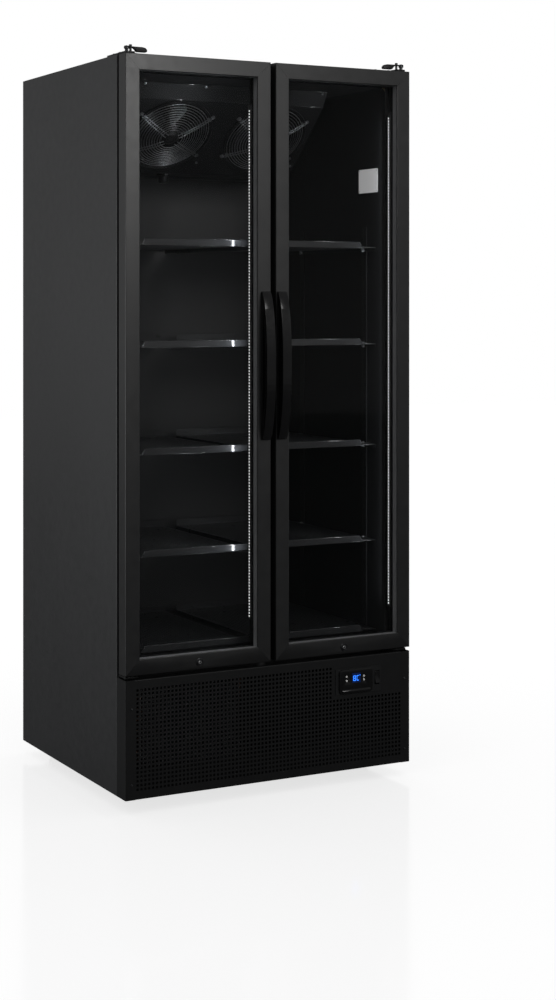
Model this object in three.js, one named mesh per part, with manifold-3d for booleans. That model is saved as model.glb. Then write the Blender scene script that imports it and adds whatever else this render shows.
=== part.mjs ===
// Two-door glass merchandiser: an upright refrigerated display cabinet on four castors.
// Millimetres, +Z up. The doors face -Y and "left" is the -X side, as a customer sees it.
// The pieces are laid out from three planes: X = 0 is the middle of the cabinet, Y = 0 is the
// front face of the doors and Z = 0 is the ground. The last group moves them to the row frame.

import * as THREE from 'three';
import { mergeVertices } from 'three/addons/utils/BufferGeometryUtils.js';
import Module from 'manifold-3d';

const wasm = await Module();
wasm.setup();

// ---- driving dimensions ----
const FIT = 0.3;                      // clearance left between pieces that touch
const SHEET = 1.2;                    // outer steel sheet
const SIDES = [['left', -1], ['right', 1]];

const WIDTH = 890;
const HALF = WIDTH / 2;
const PANEL_BOTTOM = 38;              // lower edge of the side panels above the ground
const BODY_TOP = 2008;                // upper edge of the side panels
const CABINET_FRONT = 56.7;           // face that the door gaskets close on
const CABINET_BACK = 740.6;

const DOOR_THICK = 44;
const DOOR_BOTTOM = 365;
const DOOR_TOP = 2006.7;
const DOOR_MEETING = 8;               // door edge to the middle of the cabinet
const STILE = 41.5;
const RAIL = 43;
const HINGE_X = 431;
const HINGE_Y = 24;
const HINGE_PIN = 4;                  // pin radius
const HINGE_BORE = 4.45;
const HINGE_DEPTH = 14;

const LINER_HALF = 398;               // inside walls of the cold room
const LINER_FLOOR = 393;
const LINER_CEILING = 1963;
const LINER_BACK = 695;
const LINER_WALL = 1.5;
const FLANGE_HALF = 430.5;
const FLANGE_BOTTOM = 341;
const FLANGE_TOP = 1986;
const UPRIGHT_TOP = 1614;

const GRILLE_TOP = 354;
const GRILLE_DEPTH = 55.8;
const DECK_BOTTOM = 74;
const DECK_THICK = 3;
const MACHINE_TOP = 338;              // underside of the insulated box

const SHELF_LIPS = [659, 935, 1226, 1504];   // lower edge of the front lip of each level
const SHELF_INNER = 19;               // half the slot between left and right shelves
const SHELF_OUTER = 395;
const SHELF_FRONT = 100;
const SHELF_BACK = 645;

const FAN_X = 155.5;
const FAN_Y = 334;
const FAN_Z = 1829;
const FAN_TILT = 47;                  // degrees the fan face leans out at the top
const FAN_ORIFICE = 106;

const CASTOR_X = 375;
const CASTOR_FRONT_Y = 120;
const CASTOR_REAR_Y = 640;
const CASTOR_TRAIL = 20;
const WHEEL_RADIUS = 25;
const WHEEL_WIDTH = 18;

const HANDLE_LOW = 973;
const HANDLE_HIGH = 1379;
const HANDLE_PROUD = 36;
const HANDLE_INNER = 11;
const HANDLE_OUTER = 39;

// ---- finishes ----
function finish(color, roughness, metalness) {
  return new THREE.MeshStandardMaterial({ color, roughness, metalness });
}
const BLACK_PAINT = finish(0x1c1d1f, 0.5, 0.2);
const DOOR_PAINT = finish(0x1b1c1e, 0.38, 0.4);
const LINER_BLACK = finish(0x161719, 0.6, 0.0);
const FOAM = finish(0xd8c89a, 0.9, 0.0);
const ZINC = finish(0x8b8d90, 0.4, 0.8);
const SHELF_COAT = finish(0x222326, 0.35, 0.3);
const GLASS = finish(0x9aa6a6, 0.05, 0.0);
const SEAL_RUBBER = finish(0x0d0d0e, 0.8, 0.0);
const GLOSS_PLASTIC = finish(0x0c0c0d, 0.2, 0.0);
const MATTE_PLASTIC = finish(0x151516, 0.55, 0.0);
const LED_WHITE = finish(0xf1f4f7, 0.4, 0.0);
const BUTTON_WHITE = finish(0xe6e6e3, 0.4, 0.0);
const CHROME = finish(0xc4c6c8, 0.15, 1.0);
const FIN_ALUMINIUM = finish(0xa9adb0, 0.45, 0.9);
const CAST_BLACK = finish(0x121212, 0.45, 0.4);
const WHEEL_GREY = finish(0x9a9c9d, 0.6, 0.0);

// ---- solids ----
function solid(geometry) {
  const bare = geometry.index ? geometry.toNonIndexed() : geometry.clone();
  bare.deleteAttribute('normal');
  bare.deleteAttribute('uv');
  const merged = mergeVertices(bare, 1e-4);
  const mesh = new wasm.Mesh({
    numProp: 3,
    vertProperties: new Float32Array(merged.attributes.position.array),
    triVerts: new Uint32Array(merged.index.array),
  });
  return new wasm.Manifold(mesh);
}

// The faces are merged across the pieces they came from, which leaves no slivers.
function geometryOf(manifold) {
  const mesh = manifold.asOriginal().simplify(0.002).getMesh();
  const geometry = new THREE.BufferGeometry();
  geometry.setAttribute('position', new THREE.BufferAttribute(mesh.vertProperties, 3));
  geometry.setIndex(new THREE.BufferAttribute(mesh.triVerts, 1));
  geometry.computeVertexNormals();
  return geometry;
}

function join(first, ...others) {
  return others.reduce((sum, other) => sum.add(other), first);
}

function cut(base, ...tools) {
  return tools.reduce((rest, tool) => rest.subtract(tool), base);
}

// A box between two corners; each pair may be given in either order. The corners are set
// directly, so that boxes sharing a plane share it exactly.
function block(x, y, z) {
  const box = new THREE.BoxGeometry(2, 2, 2);
  const corners = box.attributes.position;
  const pick = (pair, sign) => (sign < 0 ? Math.min(...pair) : Math.max(...pair));
  for (let i = 0; i < corners.count; i += 1) {
    corners.setXYZ(i, pick(x, corners.getX(i)), pick(y, corners.getY(i)), pick(z, corners.getZ(i)));
  }
  return solid(box);
}

// A round bar along one axis between two stations; (a, b) is its place on the other two axes.
function bar(axis, radius, [from, to], a, b, segments = 20) {
  const rod = new THREE.CylinderGeometry(radius, radius, Math.abs(to - from), segments);
  const middle = (from + to) / 2;
  if (axis === 'x') rod.rotateZ(Math.PI / 2).translate(middle, a, b);
  if (axis === 'y') rod.translate(a, middle, b);
  if (axis === 'z') rod.rotateX(Math.PI / 2).translate(a, b, middle);
  return solid(rod);
}

// An outline drawn in (Y, Z), carried along X between two stations.
function prismAlongX(shape, [xa, xb], curveSegments = 8) {
  const depth = Math.abs(xb - xa);
  const geometry = new THREE.ExtrudeGeometry(shape, { depth, bevelEnabled: false, curveSegments });
  const turn = new THREE.Matrix4().makeBasis(
    new THREE.Vector3(0, 1, 0), new THREE.Vector3(0, 0, 1), new THREE.Vector3(1, 0, 0));
  geometry.applyMatrix4(turn).translate(Math.min(xa, xb), 0, 0);
  return solid(geometry);
}

function outline(points) {
  return new THREE.Shape(points.map(([a, b]) => new THREE.Vector2(a, b)));
}

// Both ends of a span on one side of the cabinet.
function span(side, near, far) {
  return [side * near, side * far];
}

// ---- scene graph ----
const merchandiser = new THREE.Group();

function place(name, manifold, material, holder = merchandiser) {
  const mesh = new THREE.Mesh(geometryOf(manifold), material);
  mesh.name = name;
  holder.add(mesh);
}

// ---- cabinet shell ----
function sidePanel(side) {
  const skin = block(span(side, HALF - SHEET, HALF), [CABINET_FRONT, CABINET_BACK],
    [PANEL_BOTTOM, BODY_TOP]);
  const frontReturn = block(span(side, FLANGE_HALF + FIT, HALF), [CABINET_FRONT, CABINET_FRONT + SHEET],
    [PANEL_BOTTOM, BODY_TOP]);
  const rearReturn = block(span(side, HALF - 14, HALF), [CABINET_BACK - SHEET, CABINET_BACK],
    [PANEL_BOTTOM, BODY_TOP]);
  return join(skin, frontReturn, rearReturn);
}

function topPanel() {
  const inner = HALF - SHEET - FIT;
  const lid = block([-inner, inner], [CABINET_FRONT + SHEET + FIT, CABINET_BACK - SHEET - FIT],
    [BODY_TOP - SHEET, BODY_TOP]);
  const lip = block([-FLANGE_HALF, FLANGE_HALF], [CABINET_FRONT, CABINET_FRONT + SHEET + 2],
    [FLANGE_TOP + FIT, BODY_TOP]);
  return join(lid, lip);
}

// Rear skin with louvres in front of the machine compartment and a gland hole for the supply.
function rearPanel() {
  const inner = HALF - 14 - FIT;
  let panel = block([-inner, inner], [CABINET_BACK - SHEET, CABINET_BACK],
    [PANEL_BOTTOM + 6, BODY_TOP - SHEET - FIT]);
  const LOUVRES = 11;
  const PITCH = 19;
  for (let i = 0; i < LOUVRES; i += 1) {
    const low = 98 + i * PITCH;
    panel = cut(panel,
      block([-360, -20], [CABINET_BACK - 5, CABINET_BACK + 5], [low, low + 9]),
      block([20, 360], [CABINET_BACK - 5, CABINET_BACK + 5], [low, low + 9]));
  }
  return panel;
}

function insulation() {
  const outer = HALF - SHEET - FIT;
  const inner = LINER_HALF + LINER_WALL + FIT;
  const front = CABINET_FRONT + LINER_WALL + 2 + FIT;
  const shell = block([-outer, outer], [front, CABINET_BACK - SHEET - FIT],
    [MACHINE_TOP, BODY_TOP - SHEET - FIT]);
  const room = block([-inner, inner], [front - 10, LINER_BACK + LINER_WALL + FIT],
    [LINER_FLOOR - LINER_WALL - FIT, LINER_CEILING + LINER_WALL + FIT]);
  return cut(shell, room);
}

// Moulded liner: walls, floor, ceiling and front flange, with the slotted uprights fixed on it.
function innerLiner() {
  const outer = LINER_HALF + LINER_WALL;
  const tub = block([-outer, outer], [CABINET_FRONT, LINER_BACK + LINER_WALL],
    [LINER_FLOOR - LINER_WALL, LINER_CEILING + LINER_WALL]);
  const flange = block([-FLANGE_HALF, FLANGE_HALF], [CABINET_FRONT, CABINET_FRONT + LINER_WALL],
    [FLANGE_BOTTOM, FLANGE_TOP]);
  const room = block([-LINER_HALF, LINER_HALF], [CABINET_FRONT - 10, LINER_BACK],
    [LINER_FLOOR, LINER_CEILING]);
  const uprights = [];
  for (const [, side] of SIDES) {
    for (const y of [165, 525]) {
      uprights.push(block(span(side, LINER_HALF - 2.5, LINER_HALF + 1), [y - 12, y + 12],
        [LINER_FLOOR - 1, UPRIGHT_TOP]));
    }
  }
  const rearPost = block([-12, 12], [LINER_BACK - 12, LINER_BACK + 1], [LINER_FLOOR - 1, UPRIGHT_TOP]);
  return join(cut(join(tub, flange), room), ...uprights, rearPost);
}

// Post that both doors close on, narrower at the back so that it hides little of the shelves.
function centerMullion() {
  const FRONT_HALF = 42;
  const BACK_HALF = 20;
  const back = CABINET_FRONT + 38;
  const section = outline([[-FRONT_HALF, CABINET_FRONT], [FRONT_HALF, CABINET_FRONT],
    [FRONT_HALF, CABINET_FRONT + 3], [BACK_HALF, back], [-BACK_HALF, back],
    [-FRONT_HALF, CABINET_FRONT + 3]]);
  const height = LINER_CEILING - LINER_FLOOR - 2 * FIT;
  const post = new THREE.ExtrudeGeometry(section, { depth: height, bevelEnabled: false });
  post.translate(0, 0, LINER_FLOOR + FIT);
  return solid(post);
}

// Chassis of the machine compartment: deck with raised edges, corner posts and castor plates.
function baseFrame() {
  const outer = HALF - SHEET - FIT;
  const front = CABINET_FRONT + SHEET + 2 + FIT;
  const back = CABINET_BACK - SHEET - FIT;
  const deckTop = DECK_BOTTOM + DECK_THICK;
  const pieces = [
    block([-outer, outer], [front, front + 3], [DECK_BOTTOM, DECK_BOTTOM + 26]),
    block([-outer, outer], [back - 3, back], [DECK_BOTTOM, DECK_BOTTOM + 20]),
  ];
  const kingpinHoles = [];
  for (const [, side] of SIDES) {
    pieces.push(block(span(side, outer - 3, outer), [front, back], [DECK_BOTTOM, DECK_BOTTOM + 26]));
    for (const y of [front + 17, back - 17]) {
      pieces.push(block(span(side, outer - 32, outer - 1.5), [y - 15, y + 15],
        [DECK_BOTTOM + 1, MACHINE_TOP - FIT]));
    }
    for (const y of [CASTOR_FRONT_Y, CASTOR_REAR_Y]) {
      pieces.push(block(span(side, CASTOR_X - 30, CASTOR_X + 30), [y - 30, y + 30],
        [DECK_BOTTOM - 3, DECK_BOTTOM + 1]));
      kingpinHoles.push(bar('z', 5.5, [DECK_BOTTOM - 10, deckTop + 10], side * CASTOR_X, y));
    }
  }
  const deck = block([-outer, outer], [front, back], [DECK_BOTTOM, deckTop]);
  return cut(join(deck, ...pieces), ...kingpinHoles);
}

// ---- evaporator ----
// A group whose +Z points out of the fan face and whose +Y runs up it.
function fanFace(side) {
  const face = new THREE.Group();
  face.position.set(side * FAN_X, FAN_Y, FAN_Z);
  face.rotation.x = THREE.MathUtils.degToRad(90 + FAN_TILT);
  merchandiser.add(face);
  return face;
}

function evaporatorCover() {
  const HALF_LENGTH = 300;
  const top = LINER_CEILING - FIT;
  const back = LINER_BACK - FIT - 12.5;
  const bottom = 1726;
  const skin = outline([[214, top], [238, 1919], [445, bottom], [back, bottom], [back, top]]);
  const hollow = outline([[215.4, top + 5], [239.2, 1920], [445.8, bottom + SHEET],
    [back + 5, bottom + SHEET], [back + 5, top + 5]]);
  let cover = cut(prismAlongX(skin, [-HALF_LENGTH, HALF_LENGTH]),
    prismAlongX(hollow, [-HALF_LENGTH + SHEET, HALF_LENGTH - SHEET]));
  for (const [, side] of SIDES) {
    const bore = new THREE.CylinderGeometry(FAN_ORIFICE, FAN_ORIFICE, 60, 28);
    bore.rotateX(THREE.MathUtils.degToRad(FAN_TILT)).translate(side * FAN_X, FAN_Y, FAN_Z);
    cover = cut(cover, solid(bore));
  }
  const RETURN_SLOTS = 6;
  for (let i = 0; i < RETURN_SLOTS; i += 1) {
    const y = 560 + i * 18;
    cover = cut(cover, block([-260, 260], [y, y + 9], [bottom - 5, bottom + 5]));
  }
  return cover;
}

function evaporatorCoil() {
  const fins = block([-250, 250], [490, 640], [1760, 1935]);
  const plates = [-1, 1].map((end) => block([end * 248, end * 254], [480, 650], [1750, 1945]));
  const bends = [];
  for (const end of [-1, 1]) {
    for (const z of [1785, 1825, 1865, 1905]) {
      bends.push(block([end * 250, end * 270], [510, 518], [z - 4, z + 4]));
      bends.push(block([end * 250, end * 270], [610, 618], [z - 4, z + 4]));
      bends.push(block([end * 262, end * 270], [510, 618], [z - 4, z + 4]));
    }
  }
  return join(fins, ...plates, ...bends);
}

function ringBar(radius, [low, high], width, segments = 24) {
  return cut(bar('z', radius, [low, high], 0, 0, segments),
    bar('z', radius - width, [low - 1, high + 1], 0, 0, segments));
}

// Wire guard with its motor boss and shaft; the boss stands out from the face like a dome.
function fanGuard() {
  const BOSS = 26;
  const pieces = [
    bar('z', BOSS, [6, 17], 0, 0),
    bar('z', 4, [-26, 8], 0, 0, 16),
  ];
  const rings = [[108, 2], [80, 7], [52, 11]];
  for (const [radius, low] of rings) pieces.push(ringBar(radius, [low, low + 3], 3));
  for (const angle of [33, 147, 213, 327]) {
    const spoke = new THREE.BoxGeometry(98, 7, 3).toNonIndexed();
    spoke.rotateY(THREE.MathUtils.degToRad(8.5)).translate(67, 0, 8.6);
    spoke.rotateZ(THREE.MathUtils.degToRad(angle));
    const ear = new THREE.BoxGeometry(36, 14, 2.2).toNonIndexed();
    ear.translate(122, 0, 1.9).rotateZ(THREE.MathUtils.degToRad(angle));
    pieces.push(solid(spoke), solid(ear));
  }
  return join(...pieces);
}

// Axial impeller: hub with a blind running bore and equal pitched blades.
function impeller({ hub, tip, blades, depth, bore, pitch, segments = 24 }) {
  const pieces = [bar('z', hub, [-depth, -4], 0, 0, segments)];
  for (let i = 0; i < blades; i += 1) {
    const reach = tip - hub + 6;
    const blade = new THREE.BoxGeometry(reach, (depth - 6) / Math.sin(pitch), 2);
    blade.rotateX(pitch).translate(hub - 6 + reach / 2, 0, -(depth + 4) / 2);
    blade.rotateZ((i * 2 * Math.PI) / blades);
    pieces.push(solid(blade));
  }
  return cut(join(...pieces), bar('z', bore, [-depth + 3, 5], 0, 0, 16));
}

// ---- shelves ----
// Sheet tray with a raised front lip, a rear fence and turned-down side edges.
function shelf(side, low, lipHeight, fenceHeight) {
  const x = span(side, SHELF_INNER, SHELF_OUTER);
  const plate = block(x, [SHELF_FRONT, SHELF_BACK], [low + 2, low + 3.5]);
  const lip = block(span(side, SHELF_INNER, SHELF_OUTER - 32), [SHELF_FRONT, SHELF_FRONT + 1.5],
    [low, low + lipHeight]);
  const fence = block(x, [SHELF_BACK - 1.5, SHELF_BACK], [low - 2, low + fenceHeight]);
  const edges = [[SHELF_INNER, SHELF_INNER + 1.5], [SHELF_OUTER - 1.5, SHELF_OUTER]].map(
    ([near, far]) => block(span(side, near, far), [SHELF_FRONT, SHELF_BACK], [low - 8, low + 3.5]));
  return join(plate, lip, fence, ...edges);
}

// ---- doors ----
const DOOR_OPENING = {
  inner: DOOR_MEETING + STILE,
  outer: HALF - STILE,
  low: DOOR_BOTTOM + RAIL,
  high: DOOR_TOP - RAIL + 1,
};
const GLASS_GROOVE = { margin: 10, front: 3, back: 29.6 };
const LOCK_X = (DOOR_MEETING + HALF) / 2;
const LOCK_Z = 384;

// Mitred frame seen as one ring: glass groove, blind hinge bores and the lock bore.
function doorFrame(side) {
  const { inner, outer, low, high } = DOOR_OPENING;
  const { margin, front, back } = GLASS_GROOVE;
  const ring = block(span(side, DOOR_MEETING, HALF), [0, DOOR_THICK], [DOOR_BOTTOM, DOOR_TOP]);
  const opening = block(span(side, inner, outer), [-5, DOOR_THICK + 5], [low, high]);
  const groove = block(span(side, inner - margin, outer + margin), [front, back],
    [low - margin, high + margin]);
  const bores = [[DOOR_BOTTOM - 5, DOOR_BOTTOM + HINGE_DEPTH], [DOOR_TOP - HINGE_DEPTH, DOOR_TOP + 5]]
    .map((stretch) => bar('z', HINGE_BORE, stretch, side * HINGE_X, HINGE_Y));
  const lockBore = bar('y', 9, [-5, 24], side * LOCK_X, LOCK_Z);
  return cut(ring, opening, groove, ...bores, lockBore);
}

function pane(side, front, back) {
  const { inner, outer, low, high } = DOOR_OPENING;
  const margin = GLASS_GROOVE.margin - FIT;
  return block(span(side, inner - margin, outer + margin), [front, back],
    [low - margin, high + margin]);
}

function gasket(side) {
  const y = [DOOR_THICK + FIT, CABINET_FRONT - FIT];
  const wide = 20;
  const ring = block(span(side, 12, HALF - 16), y, [DOOR_BOTTOM + 6, DOOR_TOP - 6]);
  const hole = block(span(side, 12 + wide, HALF - 16 - wide), [y[0] - 5, y[1] + 5],
    [DOOR_BOTTOM + 6 + wide, DOOR_TOP - 6 - wide]);
  return cut(ring, hole);
}

// Moulded bow handle: one D-shaped outline with the finger gap cut through it.
function handle(side) {
  const middle = (HANDLE_LOW + HANDLE_HIGH) / 2;
  const reach = (HANDLE_HIGH - HANDLE_LOW) / 2;
  const bow = new THREE.Shape();
  bow.moveTo(-FIT, -reach);
  bow.lineTo(-5, -reach);
  bow.bezierCurveTo(-22, -reach + 14, -HANDLE_PROUD, -reach + 90, -HANDLE_PROUD, -40);
  bow.lineTo(-HANDLE_PROUD, 40);
  bow.bezierCurveTo(-HANDLE_PROUD, reach - 90, -22, reach - 14, -5, reach);
  bow.lineTo(-FIT, reach);
  const gap = new THREE.Path();
  gap.moveTo(-5, -reach + 42);
  gap.lineTo(-5, reach - 42);
  gap.bezierCurveTo(-16, reach - 66, -24, reach - 120, -24, 40);
  gap.lineTo(-24, -40);
  gap.bezierCurveTo(-24, -reach + 120, -16, -reach + 66, -5, -reach + 42);
  bow.holes.push(gap);
  return prismAlongX(bow, span(side, HANDLE_INNER, HANDLE_OUTER), 10).translate([0, 0, middle]);
}

function ledStrip(x) {
  return block(x, [GLASS_GROOVE.back + FIT, DOOR_THICK - 0.5], [478, 1891]);
}

function lockPlug(side) {
  const barrel = bar('y', 8.5, [-2.5, 21], side * LOCK_X, LOCK_Z);
  const keyway = block([side * LOCK_X - 0.8, side * LOCK_X + 0.8], [-5, 6],
    [LOCK_Z - 4.5, LOCK_Z + 4.5]);
  return cut(barrel, keyway);
}

// Plate fixed on the cabinet top, reaching over the door, with its pin, bolt head and stop arm.
function topHinge(side) {
  const low = BODY_TOP + FIT;
  return join(
    block(span(side, 366, 441), [CABINET_FRONT + 5, 135], [low, low + 5]),
    block(span(side, 409, 441), [12, CABINET_FRONT + 10], [low, low + 5]),
    bar('z', HINGE_PIN, [DOOR_TOP - HINGE_DEPTH + 2, low + 1], side * HINGE_X, HINGE_Y),
    bar('z', 7, [low + 4, low + 13], side * HINGE_X, HINGE_Y),
    bar('z', 5, [low + 4, low + 17], side * 418, HINGE_Y + 4),
    block(span(side, 370, 422), [HINGE_Y - 2, HINGE_Y + 10], [low + 13, low + 19.5]));
}

// Cranked plate between the grille and the door, with the pin that the door stands on.
function bottomHinge(side) {
  const low = GRILLE_TOP + 2;
  return join(
    block(span(side, 385, 441), [10, CABINET_FRONT - FIT], [low, low + 5]),
    block(span(side, 385, 441), [CABINET_FRONT - FIT - 3, CABINET_FRONT - FIT], [low - 60, low + 5]),
    bar('z', HINGE_PIN, [low + 4, DOOR_BOTTOM + HINGE_DEPTH - 2], side * HINGE_X, HINGE_Y));
}

// ---- grille panel and controls ----
const BEZEL = { x: [208, 317], z: [253, 321], radius: 12, face: 4 };
const ROCKER = { x: 334.5, pivotY: 1, z: 289, halfWidth: 6.8, halfHeight: 17, restDegrees: -6.9 };

// Front tray of the machine compartment with the raised control plate and its two cut-outs.
function grillePanel() {
  const z = [PANEL_BOTTOM, GRILLE_TOP];
  const tray = block([-HALF, HALF], [0, GRILLE_DEPTH], z);
  const hollow = block([-HALF + 1.5, HALF - 1.5], [1.5, GRILLE_DEPTH + 5],
    [z[0] + 1.5, z[1] + 5]);
  const topReturn = block([-370, 370], [0, 14], [z[1] - 1.5, z[1]]);
  const plate = block([198, 347], [-2, 1.2], [251, 323]);
  const bezelHole = block([212, 313], [-5, 5], [257, 317]);
  const rockerHole = block([ROCKER.x - 7.8, ROCKER.x + 7.8], [-5, 5], [269.5, 308.5]);
  return cut(join(cut(tray, hollow), topReturn, plate), bezelHole, rockerHole);
}

const BUTTONS = [['menu', 231.5, 301], ['set', 231.5, 289], ['up', 288, 298.5], ['down', 288, 288.5]];

// Electronic thermostat: rounded bezel, body behind the panel, display recess and button bores.
function controllerBezel() {
  const [x0, x1] = BEZEL.x;
  const [z0, z1] = BEZEL.z;
  const { radius } = BEZEL;
  const face = new THREE.Shape();
  face.moveTo(x0 + radius, z0);
  face.lineTo(x1 - radius, z0);
  face.absarc(x1 - radius, z0 + radius, radius, -Math.PI / 2, 0);
  face.absarc(x1 - radius, z1 - radius, radius, 0, Math.PI / 2);
  face.absarc(x0 + radius, z1 - radius, radius, Math.PI / 2, Math.PI);
  face.absarc(x0 + radius, z0 + radius, radius, Math.PI, Math.PI * 1.5);
  const front = new THREE.ExtrudeGeometry(face, { depth: BEZEL.face, bevelEnabled: false, curveSegments: 4 });
  front.rotateX(Math.PI / 2).translate(0, -2 - FIT, 0);
  const body = block([x0 + 5, x1 - 5], [-4, 42], [z0 + 5, z1 - 5]);
  const chin = block([x0 + 8, x1 - 8], [-10, -4], [z0 + 2, z0 + 10]);
  const display = block([250, 277], [-12, -4.8], [282, 308]);
  const bores = BUTTONS.map(([, x, z]) => bar('y', 3.6, [-12, 1], x, z, 12));
  return cut(join(solid(front), body, chin), display, ...bores);
}

function button(x, z) {
  return bar('y', 3.1, [-7.4, -0.2], x, z, 12);
}

// Rocker with a shallow V face and a round back, shown with its lower half pressed.
function lightSwitch() {
  const rocker = new THREE.Shape();
  rocker.moveTo(-3, -ROCKER.halfHeight);
  rocker.lineTo(0.5, 0);
  rocker.lineTo(-3, ROCKER.halfHeight);
  rocker.lineTo(2, ROCKER.halfHeight - 1);
  rocker.quadraticCurveTo(18, 0, 2, -ROCKER.halfHeight + 1);
  const x = [ROCKER.x - ROCKER.halfWidth, ROCKER.x + ROCKER.halfWidth];
  return prismAlongX(rocker, x).rotate([ROCKER.restDegrees, 0, 0])
    .translate([0, ROCKER.pivotY, ROCKER.z]);
}

// ---- condensing unit ----
// Hermetic compressor on its foot plate, with terminal box and suction stub.
function compressor() {
  const CENTRE = [215, 470];
  const deck = DECK_BOTTOM + DECK_THICK + FIT;
  const profile = new THREE.Path();
  profile.moveTo(0, 0);
  profile.lineTo(70, 0);
  profile.quadraticCurveTo(88, 8, 88, 40);
  profile.lineTo(88, 110);
  profile.quadraticCurveTo(86, 175, 0, 182);
  const can = new THREE.LatheGeometry(profile.getPoints(4), 20);
  can.rotateX(Math.PI / 2).translate(CENTRE[0], CENTRE[1], deck + 20);
  const foot = block([CENTRE[0] - 110, CENTRE[0] + 110], [CENTRE[1] - 60, CENTRE[1] + 60],
    [deck + 18, deck + 22]);
  const grommets = [];
  for (const dx of [-95, 95]) {
    for (const dy of [-45, 45]) {
      grommets.push(bar('z', 11, [deck, deck + 26], CENTRE[0] + dx, CENTRE[1] + dy, 10));
    }
  }
  const terminals = block([CENTRE[0] - 30, CENTRE[0] + 30], [CENTRE[1] - 112, CENTRE[1] - 70],
    [deck + 80, deck + 140]);
  const stub = bar('z', 6, [deck + 180, deck + 225], CENTRE[0] + 30, CENTRE[1] + 20, 12);
  return join(solid(can), foot, ...grommets, terminals, stub);
}

const CONDENSER = { x: -215, z: 205, fanFace: 168 };

// Finned condenser with its fan shroud, motor bracket and shaft.
function condenserCoil() {
  const { x, z, fanFace: face } = CONDENSER;
  const deck = DECK_BOTTOM + DECK_THICK + FIT;
  const fins = block([x - 150, x + 150], [80, 125], [deck, 325]);
  const shroud = cut(block([x - 150, x + 150], [120, face], [deck, 325]),
    block([x - 146, x + 146], [126, face - 2], [deck + 4, 321]),
    bar('y', 104, [face - 5, face + 5], x, z, 28));
  const bracket = block([x - 150, x + 150], [face + 40, face + 44], [z - 12, z + 12]);
  const legs = [-1, 1].map((end) => block([x + end * 138, x + end * 150], [face - 2, face + 44],
    [z - 12, z + 12]));
  const motor = bar('y', 38, [face + 34, face + 80], x, z);
  const shaft = bar('y', 4, [face + 9, face + 36], x, z, 16);
  return join(fins, shroud, bracket, ...legs, motor, shaft);
}

// ---- castors ----
// Swivel fork: kingpin riveted through the deck plate, raceway disc and two legs with the axle.
function castorFork() {
  const plateBottom = DECK_BOTTOM - 3;
  const legTop = plateBottom - 4;
  const legs = [-1, 1].map((end) => {
    const leg = outline([[-14, legTop], [14, legTop], [CASTOR_TRAIL + 8, WHEEL_RADIUS - 3],
      [CASTOR_TRAIL + 3, WHEEL_RADIUS - 8], [CASTOR_TRAIL - 3, WHEEL_RADIUS - 8],
      [CASTOR_TRAIL - 8, WHEEL_RADIUS - 3]]);
    return prismAlongX(leg, [end * 10, end * 12.4]);
  });
  return join(
    bar('z', 5, [legTop - 1, DECK_BOTTOM + DECK_THICK + 2], 0, 0, 12),
    bar('z', 9, [DECK_BOTTOM + DECK_THICK + 0.4, DECK_BOTTOM + DECK_THICK + 3.4], 0, 0, 12),
    bar('z', 21, [legTop - 6, plateBottom - 0.5], 0, 0, 16),
    block([-12.4, 12.4], [-14, 14], [legTop - 9, legTop - 4]),
    ...legs,
    bar('x', 3, [-14, 14], CASTOR_TRAIL, WHEEL_RADIUS, 12));
}

function castorWheel() {
  const half = WHEEL_WIDTH / 2;
  const profile = [[3.4, -half], [WHEEL_RADIUS - 1.5, -half], [WHEEL_RADIUS, -half + 2],
    [WHEEL_RADIUS, half - 2], [WHEEL_RADIUS - 1.5, half], [3.4, half], [3.4, -half],
  ].map(([r, along]) => new THREE.Vector2(r, along));
  const wheel = new THREE.LatheGeometry(profile, 24);
  wheel.rotateZ(Math.PI / 2).translate(0, CASTOR_TRAIL, WHEEL_RADIUS);
  return solid(wheel);
}

// ---- assembly ----
for (const [name, side] of SIDES) place(`${name}_side_panel`, sidePanel(side), BLACK_PAINT);
place('top_panel', topPanel(), BLACK_PAINT);
place('rear_panel', rearPanel(), BLACK_PAINT);
place('base_frame', baseFrame(), ZINC);
place('insulation_foam', insulation(), FOAM);
place('inner_liner', innerLiner(), LINER_BLACK);
place('center_mullion', centerMullion(), BLACK_PAINT);

place('evaporator_cover', evaporatorCover(), BLACK_PAINT);
place('evaporator_coil', evaporatorCoil(), FIN_ALUMINIUM);
const EVAPORATOR_FAN = { hub: 28, tip: 98, blades: 5, depth: 34, bore: 4.5, pitch: 0.55 };
for (const [name, side] of SIDES) {
  const face = fanFace(side);
  place(`fan_guard_${name}`, fanGuard(), CAST_BLACK, face);
  place(`fan_blade_${name}`, impeller(EVAPORATOR_FAN), MATTE_PLASTIC, face);
}

for (const [name, side] of SIDES) {
  SHELF_LIPS.forEach((low, level) => {
    place(`shelf_${name}_${level + 1}`, shelf(side, low, 19, 24), SHELF_COAT);
  });
  place(`floor_shelf_${name}`, shelf(side, LINER_FLOOR + 8 + FIT, 19, 21), SHELF_COAT);
}

const LED_PLACES = {
  left: [-DOOR_OPENING.inner - FIT, -DOOR_OPENING.inner - 6.5],
  right: [DOOR_OPENING.outer - FIT, DOOR_OPENING.outer - 6.5],
};
for (const [name, side] of SIDES) {
  place(`door_frame_${name}`, doorFrame(side), DOOR_PAINT);
  place(`glass_outer_${name}`, pane(side, 3 + FIT, 7), GLASS);
  place(`glass_inner_${name}`, pane(side, 25.3, 29.3), GLASS);
  place(`door_gasket_${name}`, gasket(side), SEAL_RUBBER);
  place(`door_handle_${name}`, handle(side), GLOSS_PLASTIC);
  place(`led_strip_${name}`, ledStrip(LED_PLACES[name]), LED_WHITE);
  place(`lock_plug_${name}`, lockPlug(side), CHROME);
  place(`top_hinge_${name}`, topHinge(side), CAST_BLACK);
  place(`bottom_hinge_${name}`, bottomHinge(side), CAST_BLACK);
}

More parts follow.
